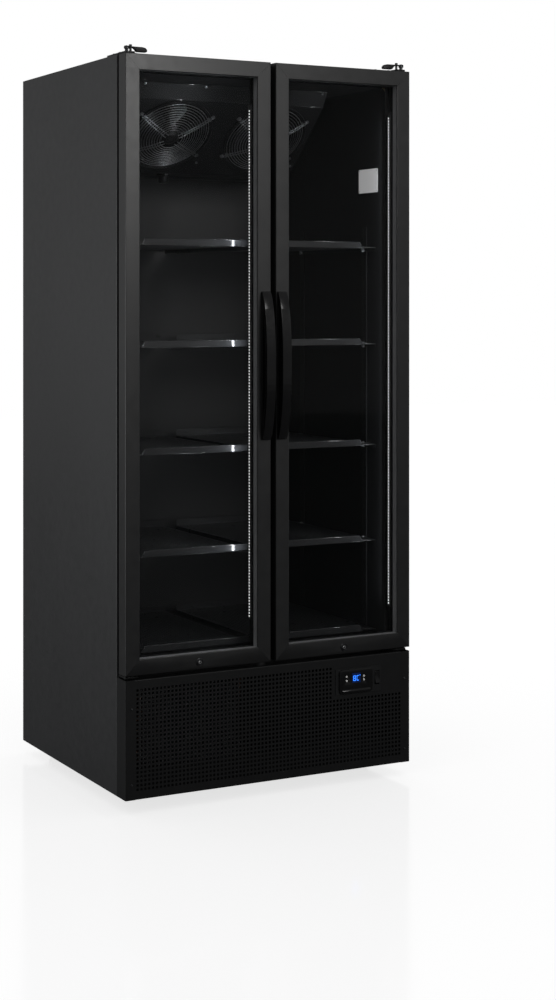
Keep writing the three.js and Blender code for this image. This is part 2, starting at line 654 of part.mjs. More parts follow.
place('grille_panel', grillePanel(), BLACK_PAINT);
place('controller_bezel', controllerBezel(), GLOSS_PLASTIC);
for (const [name, x, z] of BUTTONS) place(`button_${name}`, button(x, z), BUTTON_WHITE);
place('light_switch', lightSwitch(), MATTE_PLASTIC);

place('compressor', compressor(), CAST_BLACK);
place('condenser_coil', condenserCoil(), FIN_ALUMINIUM);
const condenserFace = new THREE.Group();
condenserFace.position.set(CONDENSER.x, CONDENSER.fanFace + 34, CONDENSER.z);
condenserFace.rotation.x = -Math.PI / 2;
merchandiser.add(condenserFace);
place('condenser_fan_blade',
  impeller({ hub: 26, tip: 98, blades: 4, depth: 30, bore: 4.5, pitch: 0.6 }),
  MATTE_PLASTIC, condenserFace);

for (const [name, side] of SIDES) {
  for (const [end, y] of [['front', CASTOR_FRONT_Y], ['rear', CASTOR_REAR_Y]]) {
    const castor = new THREE.Group();
    castor.position.set(side * CASTOR_X, y, 0);
    merchandiser.add(castor);
    place(`castor_fork_${end}_${name}`, castorFork(), ZINC, castor);
    place(`castor_wheel_${end}_${name}`, castorWheel(), WHEEL_GREY, castor);
  }
}

// The row frame has its origin on the ground under the middle of the overall box.
merchandiser.position.y = -(CABINET_BACK - HANDLE_PROUD) / 2;
const group = new THREE.Group();
group.add(merchandiser);

export default group;
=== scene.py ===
"""Glass door merchandiser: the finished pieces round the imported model, laid out as an add-on."""

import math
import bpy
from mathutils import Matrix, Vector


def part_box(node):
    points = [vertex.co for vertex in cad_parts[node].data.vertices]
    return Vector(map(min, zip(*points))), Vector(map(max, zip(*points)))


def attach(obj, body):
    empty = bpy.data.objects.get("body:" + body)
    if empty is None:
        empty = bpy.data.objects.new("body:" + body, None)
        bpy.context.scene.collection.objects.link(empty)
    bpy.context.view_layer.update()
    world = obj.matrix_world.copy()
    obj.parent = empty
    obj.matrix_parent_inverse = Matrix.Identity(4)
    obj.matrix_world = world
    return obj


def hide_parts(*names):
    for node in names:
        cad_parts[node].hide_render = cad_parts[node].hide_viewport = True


bl_info = {
    "name": "Glass Door Merchandiser",
    "version": (1, 0, 0),
    "blender": (4, 5, 0),
    "location": "View3D > Sidebar > Merchandiser",
    "description": "Builds the finishes and detailed pieces of a two-door display refrigerator",
    "category": "Add Mesh",
}

import bmesh
import bpy
from mathutils import Matrix, Vector

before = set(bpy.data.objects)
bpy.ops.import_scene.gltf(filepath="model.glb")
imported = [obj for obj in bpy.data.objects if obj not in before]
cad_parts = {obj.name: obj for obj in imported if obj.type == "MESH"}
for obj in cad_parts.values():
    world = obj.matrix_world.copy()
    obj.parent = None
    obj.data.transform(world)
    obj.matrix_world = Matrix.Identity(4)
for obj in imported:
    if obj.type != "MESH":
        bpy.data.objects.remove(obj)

MM = 0.001
SIDES = (("left", -1), ("right", 1))
FACE_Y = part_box("door_frame_left")[0][1]        # front plane of the doors
CAB_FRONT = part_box("left_side_panel")[0][1]     # plane the gaskets close on

# places in millimetres: across, behind the door face, above the ground
SHELF_LEVELS = (659, 935, 1226, 1504)           # undersides of the adjustable trays
UPRIGHT_DEPTHS = (165, 525)
UPRIGHT_FOOT = 405
HINGE_X, HINGE_DEPTH = 431, 24
LOCK_X, LOCK_Z = 226.5, 384
CONDENSER_X, CONDENSER_Z = -215, 205
COMPRESSOR_X, COMPRESSOR_DEPTH = 215, 470
BUTTONS = (("button_menu", 231.5, 301), ("button_set", 231.5, 289),
           ("button_up", 288, 298.5), ("button_down", 288, 288.5))
GUARD_SPOKES = (33, 147, 213, 327)              # degrees round a fan guard
BOW = 0.94                                      # share of the handle curve's depth that is used


# ---------------------------------------------------------------- properties

def metre(name, description, default):
    """A length property in metres."""
    return bpy.props.FloatProperty(
        name=name, description=description, default=default, min=0.0, precision=4,
        subtype="DISTANCE", unit="LENGTH")


def tint(name, description, default):
    """A linear colour property."""
    return bpy.props.FloatVectorProperty(
        name=name, description=description, default=default, size=3, min=0.0, max=1.0,
        subtype="COLOR")


class MerchandiserSizes(bpy.types.PropertyGroup):
    """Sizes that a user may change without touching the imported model."""
    door_stile: metre("Door stile", "Face width of a door's upright rails", 0.0415)
    door_rail: metre("Door rail", "Face width of a door's top and bottom rails", 0.0430)
    mitre_gap: metre("Mitre gap", "Open line where two door rails meet", 0.0004)
    grille_pitch: metre("Grille pitch", "Spacing of the square grille holes", 0.0114)
    grille_hole: metre("Grille hole", "Side of a square grille hole", 0.0064)
    shelf_pitch: metre("Shelf pitch", "Spacing of the holes in a shelf tray", 0.0118)
    shelf_hole: metre("Shelf hole", "Side of a hole in a shelf tray", 0.0062)
    led_pitch: metre("LED pitch", "Spacing of the diodes on a light strip", 0.0083)
    guard_wire: metre("Guard wire", "Diameter of a fan guard's rings", 0.0026)
    guard_pitch: metre("Guard pitch", "Spacing of a fan guard's rings", 0.0076)
    fin_pitch: metre("Fin pitch", "Spacing of the condenser's fins", 0.0040)
    slot_pitch: metre("Slot pitch", "Spacing of the slots in a shelf upright", 0.0250)


class MerchandiserColours(bpy.types.PropertyGroup):
    """Colours of the finishes."""
    cabinet: tint("Cabinet paint", "Satin powder coat of the panels", (0.0135, 0.0140, 0.0150))
    door: tint("Door paint", "Finish of the door frames", (0.0078, 0.0080, 0.0084))
    liner: tint("Liner", "Moulded inner liner", (0.0150, 0.0154, 0.0162))
    shelf: tint("Shelf coating", "Dark coating of the shelf trays", (0.0170, 0.0175, 0.0185))
    plastic: tint("Black plastic", "Handles, bezel and fan blades", (0.0036, 0.0036, 0.0039))
    led: tint("LED light", "Light of the door strips", (0.97, 0.985, 1.0))
    display: tint("Display light", "Lit digits of the thermostat", (0.03, 0.22, 1.0))
    floor: tint("Floor", "Studio floor", (0.86, 0.86, 0.865))


def sizes():
    return bpy.context.scene.merchandiser_sizes


def colours():
    return bpy.context.scene.merchandiser_colours


# ---------------------------------------------------------------- places

def at(x, depth, z):
    """A point in metres from millimetres: across, behind the door face, above the ground."""
    return Vector((x * MM, FACE_Y + depth * MM, z * MM))


def side_view(points):
    """Outline pairs (Y, Z) in metres from (depth, height) in millimetres."""
    return [(FACE_Y + d * MM, z * MM) for d, z in points]


def plan_view(points, side=1):
    """Outline pairs (X, Y) in metres from (across, depth) in millimetres, on one side."""
    return [(side * x * MM, FACE_Y + d * MM) for x, d in points]


def front_view(points, side=1):
    """Outline pairs (X, Z) in metres from (across, height) in millimetres, on one side."""
    return [(side * x * MM, z * MM) for x, z in points]


def flip(side, near, far):
    """The low and high ends of a span on one side of the middle."""
    return min(side * near, side * far), max(side * near, side * far)


# ---------------------------------------------------------------- mesh tools

def new_object(name, bm, material=None, smooth=False):
    """A plain object at the origin from a bmesh, with outward normals."""
    bmesh.ops.remove_doubles(bm, verts=bm.verts, dist=1e-6)
    bmesh.ops.recalc_face_normals(bm, faces=bm.faces)
    mesh = bpy.data.meshes.new(name)
    bm.to_mesh(mesh)
    bm.free()
    obj = bpy.data.objects.new(name, mesh)
    bpy.context.scene.collection.objects.link(obj)
    if material is not None:
        mesh.materials.append(material)
    if smooth:
        shade_by_angle(obj)
    return obj


def built(name, material, step, smooth=False):
    """A plain object from one mesh tool, given as (tool, its values)."""
    bm = bmesh.new()
    tool, *values = step
    tool(bm, *values)
    return new_object(name, bm, material, smooth)


def turned(name, material, place, segments, profile, smooth=True):
    """A plain object from one lathed profile of (radius, height) pairs."""
    return built(name, material, (add_lathe, profile, place, segments), smooth)


def shade_by_angle(obj, degrees=35):
    """Smooth faces, with broad flats kept flat and edges sharper than the angle marked sharp."""
    bm = bmesh.new()
    bm.from_mesh(obj.data)
    for face in bm.faces:
        face.smooth = min(e.calc_length() for e in face.edges) < 0.012
    limit = math.radians(degrees)
    for edge in bm.edges:
        turn = edge.calc_face_angle(0.0) if len(edge.link_faces) == 2 else math.pi
        edge.smooth = turn < limit
    bm.to_mesh(obj.data)
    bm.free()


def apply_modifiers(obj):
    """Turns the object's evaluated shape into its own plain mesh."""
    graph = bpy.context.evaluated_depsgraph_get()
    graph.update()
    made = bpy.data.meshes.new_from_object(obj.evaluated_get(graph))
    old = obj.data
    obj.modifiers.clear()
    obj.data = made
    made.name = obj.name
    bpy.data.meshes.remove(old)
    return obj


def rounded(obj, width, segments=2, degrees=30):
    """Bevels the hard edges and shades the result smooth."""
    bevel = obj.modifiers.new("Edge round", "BEVEL")
    bevel.width = width
    bevel.segments = segments
    bevel.limit_method = "ANGLE"
    bevel.angle_limit = math.radians(degrees)
    apply_modifiers(obj)
    shade_by_angle(obj)
    return obj


def add_box(bm, low, high):
    """A box between two corners in metres."""
    corners = [bm.verts.new((x, y, z)) for z in (low[2], high[2])
               for y in (low[1], high[1]) for x in (low[0], high[0])]
    for loop in ((0, 2, 3, 1), (4, 5, 7, 6), (0, 1, 5, 4), (2, 6, 7, 3), (0, 4, 6, 2), (1, 3, 7, 5)):
        bm.faces.new([corners[i] for i in loop])
    return corners


def add_span(bm, x, depth, z):
    """A box from three millimetre spans in the places of at()."""
    add_box(bm, at(min(x), min(depth), min(z)), at(max(x), max(depth), max(z)))


def add_rod(bm, start, end, radius, segments=20, end_radius=None):
    """A capped round bar between two points."""
    start, end = Vector(start), Vector(end)
    axis = end - start
    turn = axis.to_track_quat("Z", "Y").to_matrix().to_4x4()
    place = Matrix.Translation((start + end) / 2) @ turn
    bmesh.ops.create_cone(
        bm, cap_ends=True, segments=segments, radius1=radius,
        radius2=radius if end_radius is None else end_radius, depth=axis.length, matrix=place)


def add_lathe(bm, profile, place, segments=32):
    """Turns (radius, height) points about a local Z axis; a zero radius closes the pole."""
    rings = []
    for radius, height in profile:
        if radius < 1e-7:
            rings.append([bm.verts.new(place @ Vector((0, 0, height)))])
            continue
        ring = []
        for i in range(segments):
            angle = 2 * math.pi * i / segments
            ring.append(bm.verts.new(
                place @ Vector((radius * math.cos(angle), radius * math.sin(angle), height))))
        rings.append(ring)
    for lower, upper in zip(rings, rings[1:]):
        for i in range(segments):
            j = (i + 1) % segments
            loop = [lower[i % len(lower)], lower[j % len(lower)],
                    upper[j % len(upper)], upper[i % len(upper)]]
            unique = list(dict.fromkeys(loop))
            if len(unique) > 2:
                bm.faces.new(unique)


def add_tube(bm, points, radius, segments=10, closed=False):
    """A round wire along points, with caps unless it is closed."""
    points = [Vector(p) for p in points]
    count = len(points)
    rings = []
    side = None
    for i, point in enumerate(points):
        before = points[(i - 1) % count] if closed or i > 0 else point
        after = points[(i + 1) % count] if closed or i < count - 1 else point
        along = (after - before).normalized()
        if side is None:
            side = along.orthogonal().normalized()
        side = (side - along * side.dot(along)).normalized()
        up = along.cross(side)
        rings.append([bm.verts.new(point + radius * (
            math.cos(2 * math.pi * k / segments) * side + math.sin(2 * math.pi * k / segments) * up))
            for k in range(segments)])
    pairs = list(zip(rings, rings[1:])) + ([(rings[-1], rings[0])] if closed else [])
    for lower, upper in pairs:
        for k in range(segments):
            m = (k + 1) % segments
            bm.faces.new((lower[k], lower[m], upper[m], upper[k]))
    if not closed:
        bm.faces.new(list(reversed(rings[0])))
        bm.faces.new(rings[-1])


def add_prism(bm, outline, axis, low, high):
    """A closed outline carried along one row axis between two stations, all in metres.

    The outline's pairs are the other two row coordinates, in X, Y, Z order."""
    def point(pair, station):
        values = list(pair)
        values.insert("xyz".index(axis), station)
        return bm.verts.new(values)
    near = [point(pair, low) for pair in outline]
    far = [point(pair, high) for pair in outline]
    count = len(outline)
    for i in range(count):
        j = (i + 1) % count
        bm.faces.new((near[i], near[j], far[j], far[i]))
    bm.faces.new(list(reversed(near)))
    bm.faces.new(far)


def fillet(points, radius, steps=4):
    """The outline with each corner turned into an arc."""
    result = []
    count = len(points)
    for i in range(count):
        here = Vector(points[i])
        back = Vector(points[i - 1]) - here
        ahead = Vector(points[(i + 1) % count]) - here
        reach = min(radius, back.length * 0.45, ahead.length * 0.45)
        start, end = here + back.normalized() * reach, here + ahead.normalized() * reach
        for k in range(steps + 1):
            t = k / steps
            result.append(tuple((1 - t) ** 2 * start + 2 * t * (1 - t) * here + t * t * end))
    return result


def add_mitred_ring(bm, profile, low, high, scale_x, scale_z, gap=0.0, separate=False):
    """Sweeps a profile round an upright rectangle.

    Profile points are (share inward, y in metres); a share of 1 lies scale_x and scale_z
    inside the rectangle. Separate rails end at mitres with a small open gap."""
    (x0, z0), (x1, z1) = low, high

    def corner(kind, share, y):
        dx, dz = share * scale_x, share * scale_z
        return {0: (x0 + dx, y, z0 + dz), 1: (x1 - dx, y, z0 + dz),
                2: (x1 - dx, y, z1 - dz), 3: (x0 + dx, y, z1 - dz)}[kind]

    count = len(profile)
    if separate:
        along = ((1, 0, 0), (0, 0, 1), (-1, 0, 0), (0, 0, -1))
        for k in range(4):
            step = Vector(along[k]) * gap / 2
            start = [bm.verts.new(Vector(corner(k, s, y)) + step) for s, y in profile]
            end = [bm.verts.new(Vector(corner((k + 1) % 4, s, y)) - step) for s, y in profile]
            for i in range(count):
                j = (i + 1) % count
                bm.faces.new((start[i], start[j], end[j], end[i]))
            bm.faces.new(list(reversed(start)))
            bm.faces.new(end)
        return
    rings = [[bm.verts.new(corner(k, s, y)) for s, y in profile] for k in range(4)]
    for k in range(4):
        here, there = rings[k], rings[(k + 1) % 4]
        for i in range(count):
            j = (i + 1) % count
            bm.faces.new((here[i], here[j], there[j], there[i]))


# ---------------------------------------------------------------- geometry node tools

class Tree:
    """A short way to write one geometry node tree."""

    def __init__(self, name, inputs):
        self.group = bpy.data.node_groups.new(name, "GeometryNodeTree")
        face = self.group.interface
        face.new_socket("Geometry", in_out="INPUT", socket_type="NodeSocketGeometry")
        for label, kind, default in inputs:
            socket = face.new_socket(label, in_out="INPUT", socket_type=f"NodeSocket{kind}")
            if default is not None:
                socket.default_value = default
        face.new_socket("Geometry", in_out="OUTPUT", socket_type="NodeSocketGeometry")
        self.source = self.group.nodes.new("NodeGroupInput")
        self.sink = self.group.nodes.new("NodeGroupOutput")

    def node(self, kind, links=None, **settings):
        """Adds a node; links maps its input names or indices to sockets or values."""
        node = self.group.nodes.new(kind)
        for key, value in settings.items():
            setattr(node, key, value)
        for key, value in (links or {}).items():
            target = node.inputs[key]
            if isinstance(value, bpy.types.NodeSocket):
                self.group.links.new(value, target)
            else:
                target.default_value = value
        return node

    def math(self, operation, a, b=None):
        links = {0: a} if b is None else {0: a, 1: b}
        return self.node("ShaderNodeMath", links, operation=operation).outputs[0]

    def given(self, label):
        return self.source.outputs[label]

    def close(self, geometry, material):
        """Ends the tree: real mesh, one material."""
        realized = self.node("GeometryNodeRealizeInstances", {"Geometry": geometry})
        painted = self.node("GeometryNodeSetMaterial", {
            "Geometry": realized.outputs[0], "Material": material})
        self.group.links.new(painted.outputs[0], self.sink.inputs[0])
        return self.group


def run_tree(obj, group, **values):
    """Runs a tree on the object with inputs set by label, and keeps the plain mesh."""
    modifier = obj.modifiers.new(group.name, "NODES")
    modifier.node_group = group
    for item in group.interface.items_tree:
        if item.item_type == "SOCKET" and item.in_out == "INPUT":
            key = item.name.lower().replace(" ", "_")
            if key in values:
                modifier[item.identifier] = values[key]
    return apply_modifiers(obj)


def points_object(name, points, aims=None):
    """An object whose vertices are places, each with the direction that its copy faces."""
    mesh = bpy.data.meshes.new(name)
    mesh.from_pydata([tuple(p) for p in points], [], [])
    if aims is not None:
        layer = mesh.attributes.new("aim", "FLOAT_VECTOR", "POINT")
        layer.data.foreach_set("vector", [c for aim in aims for c in aim])
    obj = bpy.data.objects.new(name, mesh)
    bpy.context.scene.collection.objects.link(obj)
    return obj


def perforated_tree():
    """A grid of holed cells, with none inside a kept-clear corner."""
    tree = Tree("Perforated Sheet", (
        ("Columns", "Int", 10), ("Rows", "Int", 10), ("Pitch", "Float", 0.01),
        ("Clear Left", "Float", 9.0), ("Clear Bottom", "Float", 9.0),
        ("Cell", "Object", None), ("Material", "Material", None)))
    pitch = tree.given("Pitch")
    span_x = tree.math("MULTIPLY", tree.math("SUBTRACT", tree.given("Columns"), 1.0), pitch)
    span_y = tree.math("MULTIPLY", tree.math("SUBTRACT", tree.given("Rows"), 1.0), pitch)
    grid = tree.node("GeometryNodeMeshGrid", {
        "Size X": span_x, "Size Y": span_y,
        "Vertices X": tree.given("Columns"), "Vertices Y": tree.given("Rows")})
    place = tree.node("ShaderNodeSeparateXYZ", {
        0: tree.node("GeometryNodeInputPosition").outputs[0]})
    right = tree.math("GREATER_THAN", place.outputs[0], tree.given("Clear Left"))
    above = tree.math("GREATER_THAN", place.outputs[1], tree.given("Clear Bottom"))
    holed = tree.math("SUBTRACT", 1.0, tree.math("MULTIPLY", right, above))
    shape = tree.node("GeometryNodeObjectInfo", {"Object": tree.given("Cell")})
    copies = tree.node("GeometryNodeInstanceOnPoints", {
        "Points": grid.outputs[0], "Instance": shape.outputs["Geometry"], "Selection": holed})
    real = tree.node("GeometryNodeRealizeInstances", {"Geometry": copies.outputs[0]})
    merged = tree.node("GeometryNodeMergeByDistance", {
        "Geometry": real.outputs[0], "Distance": 2e-5})
    return tree.close(merged.outputs[0], tree.given("Material"))


def loose_part(name, bm, outward=False):
    """An object outside the scene, to be copied onto points."""
    if outward:
        bmesh.ops.recalc_face_normals(bm, faces=bm.faces)
    mesh = bpy.data.meshes.new(name)
    bm.to_mesh(mesh)
    bm.free()
    return bpy.data.objects.new(name, mesh)


def cell_object(name, pitch, hole, thickness):
    """One cell of a perforated sheet: the land round a hole and the hole's walls.

    Pitch and hole are (along X, along Y)."""
    bm = bmesh.new()
    corners = ((-1, -1), (1, -1), (1, 1), (-1, 1))
    rings = {}
    for level, z in (("top", 0.0), ("low", -thickness)):
        for edge, (wide, tall) in (("out", pitch), ("in", hole)):
            rings[level, edge] = [bm.verts.new((a * wide / 2, b * tall / 2, z)) for a, b in corners]
    for k in range(4):
        m = (k + 1) % 4
        top_out, top_in = rings["top", "out"], rings["top", "in"]
        low_out, low_in = rings["low", "out"], rings["low", "in"]
        bm.faces.new((top_out[k], top_out[m], top_in[m], top_in[k]))
        bm.faces.new((low_out[m], low_out[k], low_in[k], low_in[m]))
        bm.faces.new((top_in[k], top_in[m], low_in[m], low_in[k]))
    return loose_part(name, bm)


def close_rim(obj):
    """Walls the open outer edge of a sheet that has a front and a back face."""
    bm = bmesh.new()
    bm.from_mesh(obj.data)
    bmesh.ops.remove_doubles(bm, verts=bm.verts, dist=1e-5)
    rim = [e for e in bm.edges if e.is_boundary]
    middle = sum(v.co.z for v in bm.verts) / len(bm.verts)
    below = {(round(v.co.x, 5), round(v.co.y, 5)): v for e in rim for v in e.verts if v.co.z < middle}
    for edge in rim:
        a, b = edge.verts
        if a.co.z > middle:
            low_a = below.get((round(a.co.x, 5), round(a.co.y, 5)))
            low_b = below.get((round(b.co.x, 5), round(b.co.y, 5)))
            if low_a and low_b:
                bm.faces.new((a, b, low_b, low_a))
    bmesh.ops.recalc_face_normals(bm, faces=bm.faces)
    bm.to_mesh(obj.data)
    bm.free()


def perforated_sheet(name, columns, rows, pitch, hole, thickness, place, material,
                     clear_left=9.0, clear_bottom=9.0):
    """A flat perforated sheet, centred on the given matrix with its face along local +Z."""
    cell = cell_object(name + "_cell", (pitch, pitch), (hole, hole), thickness)
    sheet = points_object(name, [(0, 0, 0)])
    group = bpy.data.node_groups.get("Perforated Sheet") or perforated_tree()
    run_tree(sheet, group, columns=columns, rows=rows, pitch=pitch,
             clear_left=clear_left, clear_bottom=clear_bottom, cell=cell, material=material)
    close_rim(sheet)
    sheet.data.transform(place)
    discard(cell)
    return sheet


def discard(helper):
    """Removes a shape that other pieces were made from."""
    mesh = helper.data
    bpy.data.objects.remove(helper)
    bpy.data.meshes.remove(mesh)


def copies_tree():
    """Copies one object to every point, facing along the point's aim."""
    tree = Tree("Repeated Part", (("Part", "Object", None), ("Material", "Material", None)))
    shape = tree.node("GeometryNodeObjectInfo", {"Object": tree.given("Part")})
    aim = tree.node("GeometryNodeInputNamedAttribute", {"Name": "aim"}, data_type="FLOAT_VECTOR")
    facing = tree.node("FunctionNodeAlignRotationToVector", {
        "Vector": aim.outputs["Attribute"]}, axis="Z")
    copies = tree.node("GeometryNodeInstanceOnPoints", {
        "Points": tree.given("Geometry"), "Instance": shape.outputs["Geometry"],
        "Rotation": facing.outputs[0]})
    return tree.close(copies.outputs[0], tree.given("Material"))


def repeated(name, part, points, aims, material, smooth=True):
    """One plain mesh of a part repeated at points; the part itself is used up."""
    holder = points_object(name, points, aims)
    group = bpy.data.node_groups.get("Repeated Part") or copies_tree()
    run_tree(holder, group, part=part, material=material)
    discard(part)
    if smooth:
        shade_by_angle(holder)
    return holder


def joined(name, *objects):
    """One object from several, keeping each one's material."""
    with bpy.context.temp_override(
            active_object=objects[0], selected_editable_objects=list(objects),
            selected_objects=list(objects)):
        bpy.ops.object.join()
    objects[0].name = name
    objects[0].data.name = name
    return objects[0]


# ---------------------------------------------------------------- materials

class Finish:
    """A short way to write one procedural material on object coordinates."""

    def __init__(self, name):
        self.material = bpy.data.materials.new(name)
        self.material.use_nodes = True
        self.nodes = self.material.node_tree.nodes
        self.links = self.material.node_tree.links
        self.shader = self.nodes["Principled BSDF"]
        self.place = self.nodes.new("ShaderNodeTexCoord").outputs["Object"]

    def set(self, **values):
        for key, value in values.items():
            label = key.replace("_", " ").title().replace("Ior", "IOR")
            self.shader.inputs[label].default_value = value
        return self

    def noise(self, scale, detail=3.0, roughness=0.55, stretch=None):
        texture = self.nodes.new("ShaderNodeTexNoise")
        texture.inputs["Scale"].default_value = scale
        texture.inputs["Detail"].default_value = detail
        texture.inputs["Roughness"].default_value = roughness
        self.links.new(self.mapped(stretch), texture.inputs["Vector"])
        return texture.outputs["Fac"]

    def mapped(self, stretch):
        if stretch is None:
            return self.place
        mapping = self.nodes.new("ShaderNodeMapping")
        mapping.inputs["Scale"].default_value = stretch
        self.links.new(self.place, mapping.inputs["Vector"])
        return mapping.outputs[0]

    def ramp(self, factor, stops):
        node = self.nodes.new("ShaderNodeValToRGB")
        elements = node.color_ramp.elements
        while len(elements) < len(stops):
            elements.new(0.5)
        for element, (position, value) in zip(elements, stops):
            element.position = position
            tone = (value,) * 3 if isinstance(value, float) else tuple(value)[:3]
            element.color = (*tone, 1.0)
        self.links.new(factor, node.inputs[0])
        return node.outputs[0]

    def span(self, factor, low, high):
        node = self.nodes.new("ShaderNodeMapRange")
        node.inputs["From Min"].default_value = 0.3
        node.inputs["From Max"].default_value = 0.7
        node.inputs["To Min"].default_value = low
        node.inputs["To Max"].default_value = high
        self.links.new(factor, node.inputs["Value"])
        return node.outputs[0]

    def colour(self, socket):
        self.links.new(socket, self.shader.inputs["Base Color"])
        return self

    def roughness(self, socket):
        self.links.new(socket, self.shader.inputs["Roughness"])
        return self

    def bump(self, height, distance, strength=1.0):
        node = self.nodes.new("ShaderNodeBump")
        node.inputs["Strength"].default_value = strength
        node.inputs["Distance"].default_value = distance
        self.links.new(height, node.inputs["Height"])
        self.links.new(node.outputs[0], self.shader.inputs["Normal"])
        return self


def tone(source, factor=1.0):
    """A colour, given by its property's name or by its values, times a factor."""
    colour = getattr(colours(), source) if isinstance(source, str) else source
    return tuple(min(1.0, c * factor) for c in colour)


def coated(name, source, share, rough, speck, depth, level):
    """Satin powder coat: orange peel, faint tone drift and uneven gloss."""
    made = Finish(name)
    colour = tone(source, share)
    drift = made.noise(3.2, 4.0)
    peel = made.noise(speck, 2.0)
    made.colour(made.ramp(drift, ((0.25, tone(colour, 0.88)), (0.75, tone(colour, 1.14)))))
    made.roughness(made.span(made.noise(38.0, 5.0), rough - 0.035, rough + 0.045))
    made.set(specular_ior_level=level)
    made.bump(peel, depth, 0.6)
    return made


def brushed(name, colour, rough, metallic=1.0, stretch=(1.0, 1.0, 1.0)):
    """Metal with fine scratches along one direction."""
    made = Finish(name)
    lines = made.noise(420.0, 3.0, stretch=stretch)
    made.colour(made.ramp(made.noise(25.0, 4.0), ((0.3, tone(colour, 0.86)), (0.7, colour))))
    made.roughness(made.span(lines, rough - 0.06, rough + 0.08))
    made.set(metallic=metallic)
    made.bump(lines, 1.2e-5, 0.4)
    return made


def mottled(name, patches, dark, pale, gloss, relief=None, **settings):
    """Two close tones in soft patches; gloss is (noise, low, high), relief (noise, depth, strength)."""
    made = Finish(name)
    made.colour(made.ramp(made.noise(patches), ((0.3, tone(*dark)), (0.7, tone(*pale)))))
    made.roughness(made.span(made.noise(*gloss[0]), *gloss[1:]))
    for key, value in settings.items():
        made.set(**{key: (*tone(value), 1.0) if key == "emission_color" else value})
    if relief:
        made.bump(made.noise(*relief[0]), *relief[1:])
    return made


def floor_paint(name):
    """Bright to the camera, dimmer as a light source, so that dark paint keeps its depth."""
    made = mottled(name, 1.5, ("floor", 0.99), ("floor",), ((2.0,), 0.10, 0.13),
                   specular_ior_level=0.5, emission_color=WHITE, emission_strength=0.74)
    dim = made.nodes.new("ShaderNodeBsdfDiffuse")
    dim.inputs["Color"].default_value = (0.28, 0.28, 0.28, 1.0)
    ray = made.nodes.new("ShaderNodeLightPath")
    mix = made.nodes.new("ShaderNodeMixShader")
    made.links.new(ray.outputs["Is Camera Ray"], mix.inputs[0])
    made.links.new(dim.outputs[0], mix.inputs[1])
    made.links.new(made.shader.outputs[0], mix.inputs[2])
    made.links.new(mix.outputs[0], made.nodes["Material Output"].inputs["Surface"])
    return made


WHITE = (1.0, 1.0, 1.0)

# name: paint, share of its tone, roughness, grain, depth of the grain, specular level
COATS = {
    "cabinet_paint": ("cabinet", 1.0, 0.46, 1400.0, 2.2e-5, 0.5),
    "grille_paint": ("cabinet", 0.35, 0.5, 1400.0, 2.2e-5, 0.22),
    "plate_paint": ("cabinet", 0.45, 0.42, 1400.0, 2.2e-5, 0.3),
    "cover_paint": ("cabinet", 0.62, 0.46, 900.0, 0.5e-5, 0.25),
    "door_paint": ("door", 1.0, 0.34, 2100.0, 1.2e-5, 0.5),
    "liner_plastic": ("liner", 1.0, 0.5, 520.0, 3.0e-5, 0.5),
    "shelf_coating": ("shelf", 1.0, 0.3, 800.0, 2.0e-5, 0.5),
    "shelf_upright": ("shelf", 1.2, 0.34, 1400.0, 2.2e-5, 0.5),
    # glossy coat of the tray lips; the same finish, lighter than the cover paint, makes the painted
    # highlight strips on the evaporator cover's bends
    "lip_coating": ("shelf", 2.2, 0.13, 300.0, 1.0e-5, 0.8),
    "coated_fins": ((0.008, 0.008, 0.0085), 1.0, 0.5, 300.0, 2.2e-5, 0.3),
    "fan_plastic": ((0.0065, 0.0065, 0.007), 1.0, 0.35, 700.0, 1.2e-5, 0.4),
    "black_enamel": ((0.006, 0.006, 0.0064), 1.0, 0.42, 900.0, 2.2e-5, 0.22),
}

# name: tone, roughness, metallic share, stretch of the scratches
METALS = {
    "guard_wire": ((0.30, 0.305, 0.315), 0.30, 0.85),
    "zinc_steel": ((0.40, 0.41, 0.43), 0.38),
    "screw_steel": ((0.52, 0.53, 0.55), 0.28),
    "dark_screw": ((0.035, 0.036, 0.038), 0.32, 0.8),
    "chrome": ((0.70, 0.71, 0.72), 0.12),
    "copper": ((0.62, 0.30, 0.18), 0.34, 1.0, (1.0, 1.0, 0.1)),
    "fin_aluminium": ((0.50, 0.51, 0.53), 0.4, 1.0, (0.05, 1.0, 1.0)),
    "spacer_aluminium": ((0.33, 0.335, 0.345), 0.34, 0.15, (0.2, 1.0, 0.05)),
}

